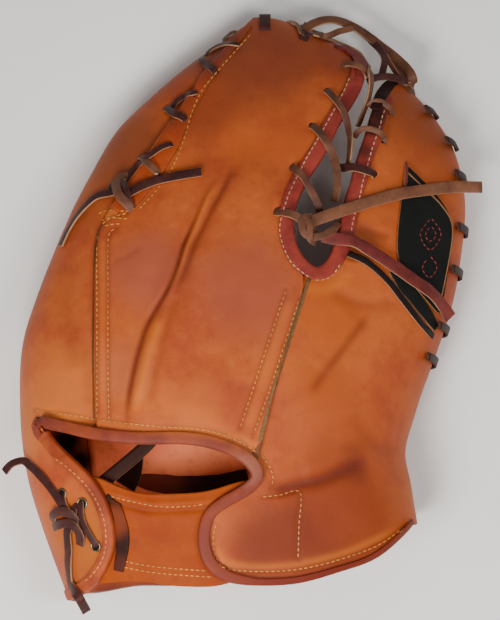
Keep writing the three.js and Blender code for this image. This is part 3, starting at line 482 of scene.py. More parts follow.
def edgeFinish(name, colour, rough=0.7):
    # a cut edge or a flesh side: matt, with fibres
    paint = Finish(name)
    fibre = paint.grain(700.0, 4.0, 0.7)
    share = paint.spread(fibre, 0.35, 0.7) * 0.5
    shade = paint.blend(share, colour, (170, 150, 130), "MULTIPLY")
    paint.sheen(leather["sheen"])
    return paint.close(shade, rough, fibre, 0.25, 0.7)


cutEdge = edgeFinish("cut_edge", (120, 70, 38))
print("camera and plain finishes ready")

# The three leather panels of the back
panelSlots = {
    "back_panel": "back_leather", "finger_side_panel": "side_leather", "thumb_panel": "side_leather",
}
seamRows = {
    "left_seam_stitches": [
        [(97, 418), (97, 360), (97, 300), (97, 245), (101, 226), (113, 217), (128, 213)],
        [(109, 420), (108, 360), (108, 300), (108, 245), (110, 232), (117, 228)],
    ],
    "right_seam_stitches": [
        [(286, 290), (272, 332), (256, 380), (240, 428)],
        [(299, 300), (286, 340), (269, 392), (253, 436)],
    ],
    "opening_stitches": [
        [(35, 410), (62, 413.5), (92, 418.5), (124, 423), (159, 426.5), (191, 428.5), (220, 433.5),
         (247, 446), (265, 460), (273, 476), (271, 488)],
        [(216, 524), (213, 540), (216, 558), (232, 570), (300, 569), (370, 549), (403, 528)],
    ],
    "web_stitches": [
        [(350, 77), (342, 95), (328, 121), (313, 147), (305, 161), (292, 187), (286, 202), (280, 225),
         (282, 242), (291, 262), (305, 274), (316, 280), (330, 277), (338, 268), (341, 262)],
        [(388, 104), (383, 114), (380, 126), (373, 146), (368, 163), (362, 185), (360, 196), (353, 221),
         (351, 233)],
    ],
    "flap_stitches": [
        [(50, 455), (68, 468), (85, 484), (96, 500), (104, 520), (106, 542), (102, 560), (92, 575),
         (80, 585)],
    ],
    "palm_patch_stitches": [[(262, 497), (280, 495), (300, 492), (299, 525), (298, 560)]],
    "lacing_strip_stitches": [
        [(251, 34), (240, 46), (222, 66), (211, 79), (201, 92), (191, 115), (183, 142), (172, 168),
         (155, 192), (136, 212)],
    ],
    "seam_end_stitches": [
        [(98, 214), (104, 211), (114, 210), (128, 211), (140, 205)],
        [(101, 221), (108, 218), (118, 218), (130, 219)],
        [(104, 226), (114, 224), (126, 224)],
    ],
    "strap_stitches": [
        [(110, 496), (134, 502), (160, 506.5), (190, 506), (208, 503)],
        [(118, 560), (150, 566), (180, 569), (210, 571)],
        [(118, 566), (150, 572), (180, 575), (212, 577)],
    ],
}
grooveWidths = {
    "left_seam_stitches": 1.3, "right_seam_stitches": 1.3, "opening_stitches": 1.2,
    "palm_patch_stitches": 1.2,
}
grooveDepth = 0.45
grooves = [
    (grooveDepth, width, row) for name, width in grooveWidths.items() for row in seamRows[name]
]

panels = {node: shapeLeather(cadCopy(node, node + "_hide", 3), (), grooves) for node in panelSlots}
backTree = treeOf(panels.values())
print("back leather shaped")


def atHeight(ray, height):
    return eye + ray * ((height - eye.z) / ray.z)


def onLeather(x, y, tree=None):
    # the first leather that the camera meets through a pixel of the photo: place and normal
    ray = rayThrough(x, y)
    place, normal, index, reach = (tree or backTree).ray_cast(eye, ray)
    if place is None:
        return atHeight(ray, 0), Vector((0, 0, 1))
    return place, normal


# Darker and lighter patches of each panel: stains, colour zones, darker towards the finger tips and the
# heel, and painted shade where noted
stainsAndShade = {
    "back_panel": [
        # the second is painted shade where the web binding's upper end and the panel's corner lie in
        # shade
        (262, 60, 46, (116, 50, 32), 0.75), (354, 55, 10, (96, 30, 22), 0.85),
        (205, 110, 30, (134, 56, 28), 0.7), (335, 60, 26, (134, 54, 26), 0.6),
        (148, 268, 34, (158, 76, 54), 0.8), (120, 370, 26, (176, 90, 50), 0.7),
        (245, 290, 44, (154, 72, 50), 0.75), (240, 150, 24, (190, 88, 28), 0.7),
        (290, 140, 24, (172, 74, 26), 0.6), (200, 400, 26, (186, 92, 38), 0.6),
        (330, 200, 14, (122, 54, 32), 0.7),
    ],
    "finger_side_panel": [
        (215, 52, 34, (122, 52, 30), 0.75), (130, 150, 34, (126, 60, 32), 0.75),
        (95, 210, 26, (158, 74, 30), 0.6), (56, 400, 46, (194, 102, 42), 0.7),
        (84, 540, 34, (164, 84, 22), 0.8),
    ],
    "thumb_panel": [
        (425, 120, 42, (136, 62, 28), 0.8), (400, 250, 30, (180, 80, 26), 0.5),
        (340, 440, 46, (164, 72, 28), 0.7), (330, 310, 28, (174, 78, 18), 0.7),
        (320, 380, 20, (170, 76, 20), 0.6), (340, 520, 50, (128, 48, 18), 0.85),
        (280, 538, 40, (106, 36, 12), 0.8), (250, 552, 20, (112, 40, 14), 0.6),
        # the first is painted shade in the crease above the flared heel
        (355, 465, 16, (104, 40, 24), 0.6), (362, 240, 14, (136, 62, 32), 0.7),
    ],
}
for node, slotName in panelSlots.items():
    finish = leatherFinish(node + "_leather", leather, stainsAndShade[node])
    settle(panels[node], [finish, cutEdge], [node])
print("back leather coloured")

# The palm, its lining and the straps
# A darker copy of the back's leather for the palm: painted shade for the side that lies underneath
palmLeatherPaintedShade = dict(leather, base=(168, 70, 26), warm=(146, 56, 22), pale=(188, 96, 44))
# The lining painted far brighter than its own reddish tone, as painted light on the opening's inside
liningLookPaintedLight = dict(
    leather, base=(252, 136, 86), warm=(240, 116, 74), pale=(252, 158, 112), rough=0.6,
)
strapLook = dict(leather, base=(150, 62, 8), warm=(138, 50, 10), pale=(172, 84, 22), sheen=0.12)
darkLook = dict(
    leather, base=(52, 24, 15), warm=(40, 18, 12), pale=(78, 42, 28), dark=(20, 10, 7), rough=0.6,
    sheen=0.1,
)

palmHide = markPlain(cadCopy("palm", "palm_hide", 2))
liningHide = markPlain(cadCopy("palm_lining", "palm_lining_hide", 2))
insideTree = treeOf([palmHide, liningHide])
# Painted shade: near-black in the opening's far left corner, and dark red-brown on the palm's heel under
# the strap
liningPaintedShade = [
    (66, 443, 13, (18, 10, 8), 1.0), (80, 462, 11, (18, 10, 8), 1.0),
    (110, 592, 20, (92, 34, 22), 0.95), (160, 590, 26, (84, 34, 22), 0.9),
]
liningFinish = leatherFinish("lining_leather", liningLookPaintedLight, liningPaintedShade, insideTree)
settle(liningHide, [liningFinish, cutEdge], ["palm_lining"])
palmFinish = leatherFinish("palm_leather", palmLeatherPaintedShade, liningPaintedShade, insideTree)
settle(palmHide, [palmFinish, cutEdge], ["palm"])
# The strap's rolled top edge: a ridge, and beneath it a groove darkened with painted shade
strapFolds = [
    [-1.0, 2.4, 0.0, (96, 490), (120, 496), (150, 504), (190, 503), (215, 500), (262, 482)],
    [1.0, 1.8, 0.4, (98, 498), (120, 503), (150, 510), (190, 509), (212, 506)],
]
strapHide = shapeLeather(cadCopy("wrist_strap", "wrist_strap_hide", 3), strapFolds)
strapFinish = leatherFinish("strap_leather", strapLook)
settle(strapHide, [strapFinish, cutEdge], ["wrist_strap"])
innerStrap = shapeLeather(cadCopy("inner_hand_strap", "inner_strap_hide", 2))
darkFinish = leatherFinish("dark_leather", darkLook)
settle(innerStrap, [darkFinish, cutEdge], ["inner_hand_strap"])
print("palm and straps ready")

# Rolled bindings round the opening, the flap and the web slit
rollLook = dict(leather, broad=60.0, rough=0.6)
bindingLooks = {
    "opening_binding": dict(
        rollLook, base=(132, 56, 30), warm=(110, 42, 28), pale=(160, 80, 48), dark=(60, 24, 16),
    ),
    "flap_binding": dict(
        rollLook, base=(158, 68, 28), warm=(132, 50, 26), pale=(184, 96, 46), dark=(66, 24, 14),
    ),
    "web_binding": dict(
        rollLook, base=(146, 54, 42), warm=(118, 38, 32), pale=(172, 78, 60), dark=(58, 16, 12),
        rough=0.55,
    ),
}
bindingStainsAndShade = {
    "opening_binding": [
        # the second is painted shade on the roll where it meets the strap's right end
        (320, 573, 75, (108, 32, 18), 0.85), (205, 545, 16, (112, 48, 36), 0.7),
        (250, 470, 14, (140, 84, 66), 0.6),
    ],
    "flap_binding": [(95, 500, 14, (110, 40, 22), 0.6)],
    "web_binding": [
        # all four are painted shade: shadow between and under the laces, and shade on the binding's
        # upper part
        (377, 112, 10, (44, 18, 13), 0.95), (370, 128, 8, (52, 20, 15), 0.85),
        (363, 150, 8, (74, 26, 18), 0.8), (360, 66, 9, (84, 30, 20), 0.6),
    ],
}

# The hem's outer line, towards which the roll is drawn narrower there
hem = {
    "line": [(222, 582), (250, 584.5), (270, 584), (300, 581), (320, 577), (345, 569), (372, 556),
             (393, 543), (408, 530), (416, 514)],
    "drawn": 0.4, "reach": 20,
}


def narrowHem(made):
    # draws the roll towards the hem's line; the photo's rows run downwards
    places = coordinatesOf(made.data)
    pixels = pixelsOf(places)
    line = smoothRoute(hem["line"], 3)
    gap, along = nearTo(pixels, line)
    steps = numpy.linspace(0, 1, len(line))
    nearest = numpy.stack([numpy.interp(along, steps, line[:, k]) for k in (0, 1)], axis=1)
    share = hem["drawn"] * (gap < hem["reach"]) * numpy.clip(along / taper["hem"], 0, 1)
    draw = (nearest - pixels) * share[:, None] * pixelSize
    places[:, 0] += draw[:, 0]
    places[:, 1] -= draw[:, 1]
    moveTo(made.data, places)


bindings = {}
for node, look in bindingLooks.items():
    made = shapeLeather(cadCopy(node, node + "_hide", 2, 0.3, 70))
    if node == "opening_binding":
        narrowHem(made)
    finish = leatherFinish(node + "_leather", look, bindingStainsAndShade[node], treeOf([made]))
    bindings[node] = settle(made, [finish], [node], 80)
print("bindings ready")

# Flat strips of leather, cloth or lace. knots: x and y in the photo's pixels, how high the
# strip's underside lies above the leather in mm when it isn't the strip's own lift, how far it
# is turned on its side in degrees, and for a stretch in the air its height above the floor in mm
plainStrip = {
    "thickness": 1.3, "lift": 0.0, "widths": None, "conform": False, "bevel": 0.22, "sharp": 60,
    "steps": 6, "across": 4, "waveScale": 180, "wave": 0.12, "curl": 0.15, "above": 12,
}
bankSearch = {"reach": 60, "step": 2}
rimSearch = {"low": 6, "high": 76, "step": 3}


def spotFor(x, y, lift, high, tree):
    # a place on or above the leather under a pixel, and the way that faces out of it
    ray = rayThrough(x, y)
    if high is not None:
        return atHeight(ray, high * mm), Vector((0, 0, 1))
    place, normal, index, reach = tree.ray_cast(eye, ray)
    if place is not None:
        return place + normal * lift * mm, normal
    banks = []
    for way in (-1, 1):
        for step in range(bankSearch["step"], bankSearch["reach"], bankSearch["step"]):
            bank, slope, index, reach = tree.ray_cast(eye, rayThrough(x + way * step, y))
            if bank is not None:
                banks.append((step, bank.z))
                break
    if len(banks) < 2:
        # past the rim: the nearest leather round the side
        levels = range(rimSearch["low"], rimSearch["high"], rimSearch["step"])
        found = [tree.find_nearest(atHeight(ray, level * mm)) for level in levels]
        place, normal, index, gap = min(found, key=lambda near: near[3])
        return place + normal * lift * mm, normal
    (near, nearHigh), (far, farHigh) = banks
    level = (nearHigh * far + farHigh * near) / (near + far) + lift * mm
    return atHeight(ray, level), Vector((0, 0, 1))


def layStrip(name, settings, tree):
    # a flat strip along the knots, bent as it lies on the leather
    strip = dict(plainStrip, **settings)
    thickness = strip["thickness"]
    rest = (None, None, strip["lift"], 0.0, None)
    knots = [(*knot, *rest[len(knot):]) for knot in strip["knots"]]
    widths = strip["widths"] or [1.0] * len(knots)
    spots = [spotFor(x, y, lift, high, tree) for x, y, lift, turn, high in knots]
    bends = [(knot[3], knot[2], share) for knot, share in zip(knots, widths)]
    places = smoothRoute([tuple(place) for place, lie in spots], strip["steps"])
    lies = smoothRoute([tuple(lie) for place, lie in spots], strip["steps"])
    bends = smoothRoute(bends, strip["steps"])
    count = len(places) - 1
    shape = bmesh.new()
    bmesh.ops.create_grid(shape, x_segments=count, y_segments=strip["across"], size=0.5)
    for vertex in shape.verts:
        i = round((vertex.co.x + 0.5) * count)
        across = vertex.co.y * 2
        turn, lift, share = bends[i]
        run = Vector(places[min(i + 1, count)] - places[max(i - 1, 0)]).normalized()
        lie = Vector(lies[i])
        lie = (lie - run * lie.dot(run)).normalized()
        lie = Matrix.Rotation(math.radians(turn), 3, run) @ lie
        side = lie.cross(run)
        wave = noise.noise(Vector(places[i]) * strip["waveScale"]) * strip["wave"]
        middle = Vector(places[i]) + lie * (thickness + wave) * mm
        half = strip["width"] / 2 * share * (1 + wave * 0.5)
        drop = lie * strip["curl"] * across * across * mm
        vertex.co = middle + side * across * half * mm - drop
        if strip["conform"]:
            above = vertex.co + lie * strip["above"] * mm
            place, normal, index, reach = tree.ray_cast(above, -lie)
            if place is not None:
                vertex.co = place + normal * (thickness + lift) * mm
    made = newObject(name, meshFrom(shape, name))
    wall = made.modifiers.new("wall", "SOLIDIFY")
    wall.thickness = thickness * mm
    wall.offset = -1
    wall.material_offset = 1
    wall.material_offset_rim = 1
    edge = made.modifiers.new("edge", "BEVEL")
    edge.width = strip["bevel"] * mm
    edge.segments = 2 if strip["bevel"] < 0.5 else 4
    edge.limit_method = "ANGLE"
    edge.angle_limit = math.radians(45)
    made.data.materials.append(None)
    made.data.materials.append(None)
    return markPlain(evaluated(made))


def addStrip(name, strip, tree, finishes, replaced=()):
    made = layStrip(name, strip, tree)
    return settle(made, finishes, replaced, strip.get("sharp", plainStrip["sharp"]))


# The strip that the side lacing runs over, and the cut edges along the two seams
lacingStrip = {
    "width": 12.0, "thickness": 1.0, "lift": 0.15, "conform": True, "sharp": 40,
    "widths": [0.6, 0.68, 0.74, 0.8, 0.86, 0.95, 1.0, 1.0, 0.9],
    "knots": [(247, 26), (233, 42), (213, 68), (196, 94), (182, 117), (169, 146), (153, 170),
              (134, 195), (117, 212)],
}
stripLook = dict(leather, base=(176, 72, 24), warm=(140, 50, 20), pale=(196, 96, 40))
stripStains = [(222, 55, 34, (118, 46, 28), 0.85), (185, 112, 22, (136, 56, 26), 0.6)]
stripFinishes = [leatherFinish("strip_leather", stripLook, stripStains), cutEdge]
stripHide = addStrip("side_lacing_strip", lacingStrip, backTree, stripFinishes)

seamEdges = {
    "right_seam_edge": {
        "width": 2.1, "thickness": 0.45, "conform": True, "colour": (124, 88, 54),
        "knots": [(309, 279), (301, 303), (290, 338), (275, 385), (259.5, 442)],
    },
    "left_seam_edge": {
        "width": 0.9, "thickness": 0.45, "conform": True, "colour": (112, 68, 38),
        "knots": [(101, 226), (96, 240), (94, 270), (93, 320), (93, 370), (94, 419)],
    },
}
for name, seam in seamEdges.items():
    rawEdge = edgeFinish(name + "_fibre", seam["colour"])
    addStrip(name, seam, backTree, [rawEdge])

# The opening's left corner, where its roll turns down into the flap's
cornerRoll = {
    "width": 5.2, "thickness": 2.2, "bevel": 0.9, "sharp": 80,
    "widths": [0.7, 0.9, 1.0, 1.0, 1.05, 1.0, 0.7],
    "knots": [(68, 426, -2.4), (56, 423.5, -1.4), (46, 421.5, -0.8), (39, 422, -0.5),
              (37, 427, -0.5), (39, 434, -0.8), (44, 441, -2.0)],
}
cornerTree = treeOf([*panels.values(), bindings["opening_binding"], bindings["flap_binding"]])
cornerFinish = leatherFinish("corner_roll_leather", bindingLooks["opening_binding"])
addStrip("opening_corner_roll", cornerRoll, cornerTree, [cornerFinish])

# The dark tab that shows beside the flap
strapTree = treeOf([strapHide])
tabLook = dict(darkLook, base=(44, 20, 14), warm=(34, 15, 11), pale=(72, 38, 26), dark=(14, 8, 6))
tabStains = [(117, 522, 13, (118, 50, 24), 0.85), (121, 568, 9, (78, 34, 24), 0.8)]
tabFinish = leatherFinish("tab_leather", tabLook, tabStains, strapTree)
underTab = {
    "width": 7.0, "thickness": 1.2, "lift": 0.2, "conform": True,
    "widths": [0.3, 0.75, 1.0, 1.0, 0.8],
    "knots": [(107, 495), (117, 509), (122, 528), (123, 547), (119, 571)],
}
addStrip("flap_under_tab", underTab, strapTree, [tabFinish])

# The tab on the hand strap inside, and a dark band behind the strap's top edge: mostly painted shadow of
# the gap there, partly the strap's dark inner side
innerTab = {
    "width": 12.0, "thickness": 1.2, "widths": [1.0, 0.85, 0.5, 0.12],
    "knots": [(126, 486, 1.0), (133, 474, 1.4), (139, 462, 1.4), (143, 453, 1.2)],
}
tabEdge = edgeFinish("tab_edge", (150, 100, 66))
addStrip("inner_strap_tab", innerTab, insideTree, [tabFinish, tabEdge])
strapGapShadowBand = {
    "width": 10.5, "thickness": 1.2, "lift": 0.6, "conform": True,
    "widths": [0.5, 0.9, 1.0, 1.0, 0.9],
    "knots": [(134, 479), (152, 482), (180, 485), (214, 484), (248, 477)],
}
shadowBandHide = layStrip("strap_gap_shadow_band", strapGapShadowBand, insideTree)
bandStains = [(150, 478, 24, (104, 40, 26), 0.9)]
shadowBandFinish = leatherFinish("shadow_band_leather", tabLook, bandStains, treeOf([shadowBandHide]))
settle(shadowBandHide, [shadowBandFinish], (), plainStrip["sharp"])

# The web binding's upper ends: by the thumb's tip a near-black one, dark leather darkened further as
# painted shadow; by the finger's a red one, the binding's leather darkened as painted shade
webEnds = {
    "web_binding_end": {
        "width": 6.6, "thickness": 1.8, "bevel": 0.8, "sharp": 80, "widths": [0.8, 1.0, 1.0, 0.8, 0.5],
        "knots": [(375, 110, -0.4), (380, 99, -0.2), (385, 90, -0.2), (391, 84, -0.4), (397, 81, -1.2)],
    },
    "web_binding_upper_end": {
        "width": 8.0, "thickness": 1.8, "bevel": 0.8, "sharp": 80,
        "widths": [0.5, 0.9, 1.1, 1.1, 0.8, 0.5],
        "knots": [(359, 78, -1.2), (361, 69, -0.4), (358, 60, -0.2), (350, 53, -0.2),
                  (342, 49, -0.4), (335, 47, -1.4)],
    },
}
upperEndShadedLook = dict(bindingLooks["web_binding"], base=(112, 34, 26), warm=(90, 26, 20), pale=(138, 54, 40))
webEndFinishes = [tabFinish, leatherFinish("web_upper_end_leather", upperEndShadedLook)]
webTree = treeOf([*panels.values(), bindings["web_binding"]])
for (name, strip), finish in zip(webEnds.items(), webEndFinishes):
    addStrip(name, strip, webTree, [finish])
topTree = treeOf([*panels.values(), *bindings.values(), strapHide, stripHide])
print("seam edges and tabs ready")

# Laces and their knots: look, width in mm, and then the strip's knots. Each stands for the CAD
# node whose name it bears, if there is one
laceLook = dict(
    leather, base=(66, 32, 27), warm=(48, 22, 20), pale=(104, 64, 50), dark=(22, 11, 9),
    broad=70.0, mottle=260.0, rough=0.5,
)
laceLooks = {
    "dark": laceLook,
    "black": dict(laceLook, base=(24, 13, 12), warm=(18, 10, 9), pale=(46, 28, 24), dark=(10, 6, 5)),
    "brown": dict(laceLook, base=(104, 64, 44), warm=(78, 44, 32), pale=(144, 98, 72)),
    "red": dict(laceLook, base=(112, 44, 38), warm=(90, 32, 28), pale=(146, 76, 64)),
    "pale": dict(laceLook, base=(122, 76, 52), warm=(96, 56, 40), pale=(156, 106, 78)),
}
laceFinishes = {name: leatherFinish(name + "_lace", look) for name, look in laceLooks.items()}

laces = {
    "web_lace_1": [
        "brown", 4.0, (325, 89, -1.6), (330, 95, 0.5), (341, 110, 1.2), (348, 124, 1.6, 20),
        (351, 140, 0.6, 50), (350, 158, -3.0, 60), (348, 168, -7.0, 60),
    ],
    "web_lace_2": [
        "brown", 4.4, (310, 125, -1.6), (315, 129, 0.5), (323, 139, 1.3), (332, 153, 1.6),
        (337, 170, 0.8, 10), (338, 186, -2.5, 20), (335, 202, -7.0, 30),
    ],
    "web_lace_3": [
        "brown", 4.2, (291, 166, -1.6), (296, 170, 0.5), (303, 179, 1.2), (311, 191, 1.2),
        (317, 203, -1.0), (320, 212, -4.0),
    ],
    "web_lace_4": [
        "brown", 4.8, (274, 211, -1.6), (279, 213, 0.4), (290, 215, 0.9), (300, 219, 1.2),
        (309, 226, 0.6), (314, 233, -2.0),
    ],
    "web_lace_5": [
        "dark", 4.6, (340, 168, -2.5), (346, 168, -0.6), (356, 169, 0.8), (366, 172, 1.0),
        (372, 174, 0.2), (376, 176, -1.8),
    ],
    "web_lace_6": [
        "brown", 3.0, (368, 106, -2.0, 30), (372, 102, 0.6, 30), (380, 103, 1.4, 40),
        (388, 108, 1.2, 40), (392, 113, -0.2, 30), (392, 118, -2.0, 30),
    ],
    "web_lace_7": [
        "brown", 3.2, (354, 137, -2.5, 30), (358, 131, 0.6, 30), (368, 130, 1.4, 40),
        (378, 133, 1.4, 40), (384, 139, 0.4, 30), (385, 145, -2.0, 30),
    ],
    "web_tail_upper": [
        "pale", 6.5, (306, 229, 1.0), (312, 222, 2.2), (333, 214, 2.4), (361, 206.5, 2.4),
        (388, 198, 1.8), (406, 194.5, 2.6), (428, 191.5, 2.8), (450, 188.5, 2.4),
        (482, 187.5, 0, 0, 31),
    ],
    "web_tail_lower": [
        "red", 6.8, (322, 236, 1.4), (335, 239, 2.0), (350, 243, 2.2), (369, 252, 1.8), (389, 265, 2.0),
        (409, 280, 2.8), (429, 295, 2.8), (450, 317, 0, 0, 33),
    ],
    # a dark lace, made black also as the painted shadow under the lower tail
    "web_tail_under": [
        "black", 3.8, (343, 251, -1.2), (350, 255, 0.3), (367, 263, 0.3), (386, 280, 0.2),
        (401, 299, 0.2), (418, 321, 0.2), (433, 337, -0.6),
    ],
    "tip_lace_1": [
        "brown", 5.2, (304, 34, 0.4), (312, 25, 0, -20, 24), (329, 20.5, 0, -30, 21),
        (346, 24, 0, -30, 18), (361, 32, 0, -30, 17), (380, 46, 0, -20, 17), (400, 62, 0, 0, 18),
        (412, 76, 0, 10, 22), (413, 88, 0.6), (412, 97, -1.8),
    ],
    "tip_lace_2": [
        "brown", 3.6, (305, 32, 1.2), (314, 34, 1.0), (325, 36, 0, 30, 26), (339, 31, 0, 30, 22),
        (353, 28, 0, 10, 18),
    ],
    "tip_lace_3": [
        "dark", 4.0, (371, 41, 0, 0, 16), (380, 51, 0, -20, 20), (384, 60, 0, -30, 23),
        (382, 73, 0, -20, 27), (381, 80, 0, 0, 29),
    ],
    "tip_lace_4": [
        "dark", 4.0, (368, 82, 0, 0, 31), (376, 78, 0, 0, 33), (388, 77, 0, 0, 31), (402, 80, 0, 0, 26),
        (409, 86, 0.8), (413, 94, -1.8),
    ],
    "tip_lace_5": [
        "brown", 3.6, (312, 36, 0.8), (322, 39, 0.8), (338, 43, 0.6), (353, 48, 0.9, -20),
        (365, 59, 0.9, -40), (370, 74, 0, -50, 41), (369, 93, 0, -60, 42), (362, 114, 0, -60, 38),
        (357, 126, 0, -60, 34),
    ],
    "tip_lace_7": [
        "brown", 3.2, (350, 27, 0, -30, 17), (366, 38, 0, -30, 16), (384, 55, 0, -20, 16.5),
        (398, 70, 0, -10, 18), (409, 84, 0, 0, 22),
    ],
    "tip_lace_6": [
        "brown", 2.8, (386, 55, 0, 30, 20), (391, 64, 0, 30, 22), (398, 75, 0, 30, 24),
        (406, 87, 1.0, 20), (410, 95, -1.6),
    ],
    "web_lace_8": [
        "brown", 3.2, (342, 69, -1.8, 20), (345, 66, 0.6, 20), (354, 67, 1.4, 30), (362, 71, 1.2, 30),
        (368, 79, 0.2, 0),
    ],
    "label_corner_lace": [
        "red", 1.8, (406, 163, -0.8), (405, 169, 1.3), (404.5, 177, 1.9), (403.5, 185, 1.6),
        (403, 192, 0.2),
    ],
    "side_lace_1": [
        "dark", 3.2, (206, 56, -1.2), (211, 52, 0.4), (222, 47, 0.8), (233, 45, 0.4), (239, 45, -1.6),
    ],
    "side_lace_2": [
        "dark", 4.0, (198, 57, -1.6), (202, 61, 0.5), (208, 66, 0.7), (213, 70, 0.2), (216, 73, -1.8),
    ],
    "side_lace_3": [
        "dark", 3.4, (172, 108, -1.2), (177, 103, 0.5), (185, 98, 0.8), (193, 94, 0.3), (197, 92, -1.6),
    ],
    "side_lace_4": [
        "dark", 4.2, (164, 107, -1.6), (168, 110, 0.5), (176, 115, 0.7), (182, 118, 0.2),
        (186, 120, -1.8),
    ],
    "side_lace_5": [
        "dark", 3.4, (145, 161, 0.2), (150, 157, 0.8), (160, 150, 0.9), (168, 146, 0.3),
        (173, 144, -1.6),
    ],
    "side_lace_6": [
        "brown", 4.0, (140, 156, -1.6), (143, 159, 1.0), (149, 166, 1.6), (156, 172, 0.4),
        (160, 176, -1.8),
    ],
    "side_lace_7": [
        "dark", 3.4, (144, 163, 0.2), (138, 167, 0.6), (131, 175, 1.0), (126, 183, 1.6),
    ],
    "side_tail_left": [
        "dark", 4.4, (120, 192, 2.0), (112, 195, 1.6), (99, 198, 1.4), (88, 207, 1.2, 4),
        (77, 220, 1.0, 6), (69, 233, 0.8, 6), (62, 247, 0.4, 4),
    ],
    "side_tail_right": [
        "dark", 4.9, (122, 197, 1.6), (130, 195, 1.4), (142, 188, 1.4, 10), (159, 182, 1.3, 10),
        (181, 177, 1.4, 8), (202, 174, 1.8, 5),
    ],
    "side_knot": [
        "brown", 5.0, (130, 178, 0.6), (124, 180, 2.8), (119, 187, 4.2), (121, 198, 4.0),
        (127, 205, 2.4), (132, 210, 0.2),
    ],
    "side_knot_loop": [
        "dark", 3.4, (133, 209, 0.4), (130, 202, 2.2), (129, 194, 3.4), (124, 187, 4.4),
        (115, 187, 2.0), (112, 192, 0.6),
    ],
    "web_knot": [
        "brown", 4.0, (312, 218, 0.5), (306, 217, 3.2), (302, 224, 4.0), (304, 233, 3.6),
        (311, 237, 3.0), (322, 236, 3.2), (333, 230, 2.4), (338, 224, 0.4),
    ],
    "web_knot_loop": [
        "brown", 3.4, (300, 217, 1.6), (307, 221, 4.2), (310, 229, 4.8), (310, 239, 3.4),
        (315, 243, 0.6),
    ],
    "strap_lace_1": [
        "dark", 3.8, (80, 500, -1.6), (82, 507, 0.9), (84, 519, 1.4), (89, 531, 1.3), (95, 542, 0.4),
        (97, 547, -1.6),
    ],
    "strap_lace_2": [
        "dark", 3.4, (62, 493, -1.6), (65, 499, 0.8), (68, 506, 1.6), (72, 512, 1.6),
    ],
    "strap_lace_3": [
        "dark", 3.6, (79, 505, -1.6), (76, 508, 0.8), (77, 518, 1.6), (80, 530, 1.6), (81, 544, 0.6),
    ],
    "strap_tail_left": [
        "dark", 4.4, (66, 507, 1.6, 20), (61, 499, 1.6, 25), (52, 486, 1.8, 30), (43, 475, 1.8, 30),
        (34, 466, 1.6, 25), (23, 461.5, 0, 20, 52), (12, 464.5, 0, 20, 49), (5, 472, 0, 20, 46),
    ],
    "strap_tail_down": [
        "dark", 5.2, (72, 524, 1.6), (70, 533, 1.6), (71, 549, 1.4), (71, 566, 1.4), (74, 583, 1.6),
        (79, 598, 2.0, 0, 59), (86, 611, 0, 0, 50),
    ],
    "strap_knot": [
        "dark", 5.0, (79, 522, 1.2), (74, 513, 3.2), (66, 510, 3.8), (58, 514, 3.0), (56, 521, 1.0),
    ],
    "strap_knot_loop": [
        "dark", 4.6, (56, 527, 0.8), (63, 524, 2.8), (72, 522, 3.6), (79, 526, 3.2), (83, 536, 1.8),
        (82, 545, 0.6),
    ],
    "tip_rim_lace_1": [
        "dark", 6.0, (265, 30, -1.4), (265, 27, 0.6), (265, 22, 1.0), (265, 17, 1.2), (265, 12, 0.4),
    ],
    "tip_rim_lace_2": [
        "dark", 4.0, (236, 32, -1.4), (233, 32, 0.5), (228, 34, 0.7), (224, 37, 0.2), (222, 40, -1.5),
    ],
    "tip_knot_1": [
        "dark", 5.4, (303, 40, -1.2), (305, 36, 0.8), (306, 30, 1.6), (306, 24, 1.0), (306, 19, -1.5),
    ],
    "tip_knot_2": [
        "brown", 2.6, (288, 20, -1.5), (292, 21, 0.6), (297, 28, 0.9), (301, 35, 0.8), (306, 38, 0.2),
    ],
}


fleshEdge = edgeFinish("lace_edge", (164, 122, 92))
for name, (look, width, *knots) in laces.items():
    lace = {"width": width, "knots": knots, "sharp": 40}
    replaced = [name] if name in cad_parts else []
    addStrip(name, lace, topTree, [laceFinishes[look], fleshEdge], replaced)

rimLook = dict(laceLook, base=(46, 24, 18), warm=(34, 17, 13), pale=(78, 48, 36), sheen=0.1)
rimFinishes = [leatherFinish("rim_lace", rimLook), edgeFinish("rim_lace_edge", (70, 42, 32))]
for number in range(1, 8):
    node = f"rim_lace_{number}"
    settle(shapeLeather(cadCopy(node, node + "_loop", 2)), rimFinishes, [node])
print("laces ready")

# The thumb's cloth label and the metal eyelets
labelLook = dict(
    leather, base=(17, 19, 15), warm=(11, 12, 10), pale=(36, 38, 30), dark=(6, 6, 5), rough=0.8,
)
labelCloth = shapeLeather(cadCopy("thumb_label", "thumb_label_cloth", 2))
labelEdge = edgeFinish("label_edge", (150, 106, 68))
labelFinishes = [leatherFinish("label_cloth", labelLook), labelEdge]
settle(labelCloth, labelFinishes, ["thumb_label"])
labelFoot = {
    "width": 8.0, "thickness": 1.0, "conform": True, "widths": [0.6, 1.0, 1.0, 1.0, 0.6],
    "knots": [(392, 270), (402, 283), (413, 297), (424, 311), (435, 328)],
}
footCloth = addStrip("label_foot_cloth", labelFoot, backTree, labelFinishes)
labelTree = treeOf([labelCloth, footCloth])
labelTrim = {"width": 0.9, "thickness": 0.25, "conform": True, "bevel": 0.1}
labelTrimRoutes = {
    "label_trim_right": [
        (408, 173), (426, 190), (441, 205), (451, 221), (452, 240), (446, 275), (440, 302),
    ],
    "label_trim_foot": [(386, 274), (396, 288), (407, 302), (418, 316), (431, 332)],
}
for name, route in labelTrimRoutes.items():
    trim = dict(labelTrim, knots=route)
    addStrip(name, trim, labelTree, [labelEdge])


def metalFinish(name, colour):
    paint = Finish(name)
    tarnish = paint.grain(900.0, 4.0)
    shade = paint.blend(paint.spread(tarnish, 0.4, 0.7), colour, (92, 78, 56))
    paint.shader.inputs["Metallic"].default_value = 1.0
    return paint.close(shade, 0.32 + tarnish * 0.2, tarnish, 0.05, 0.4)


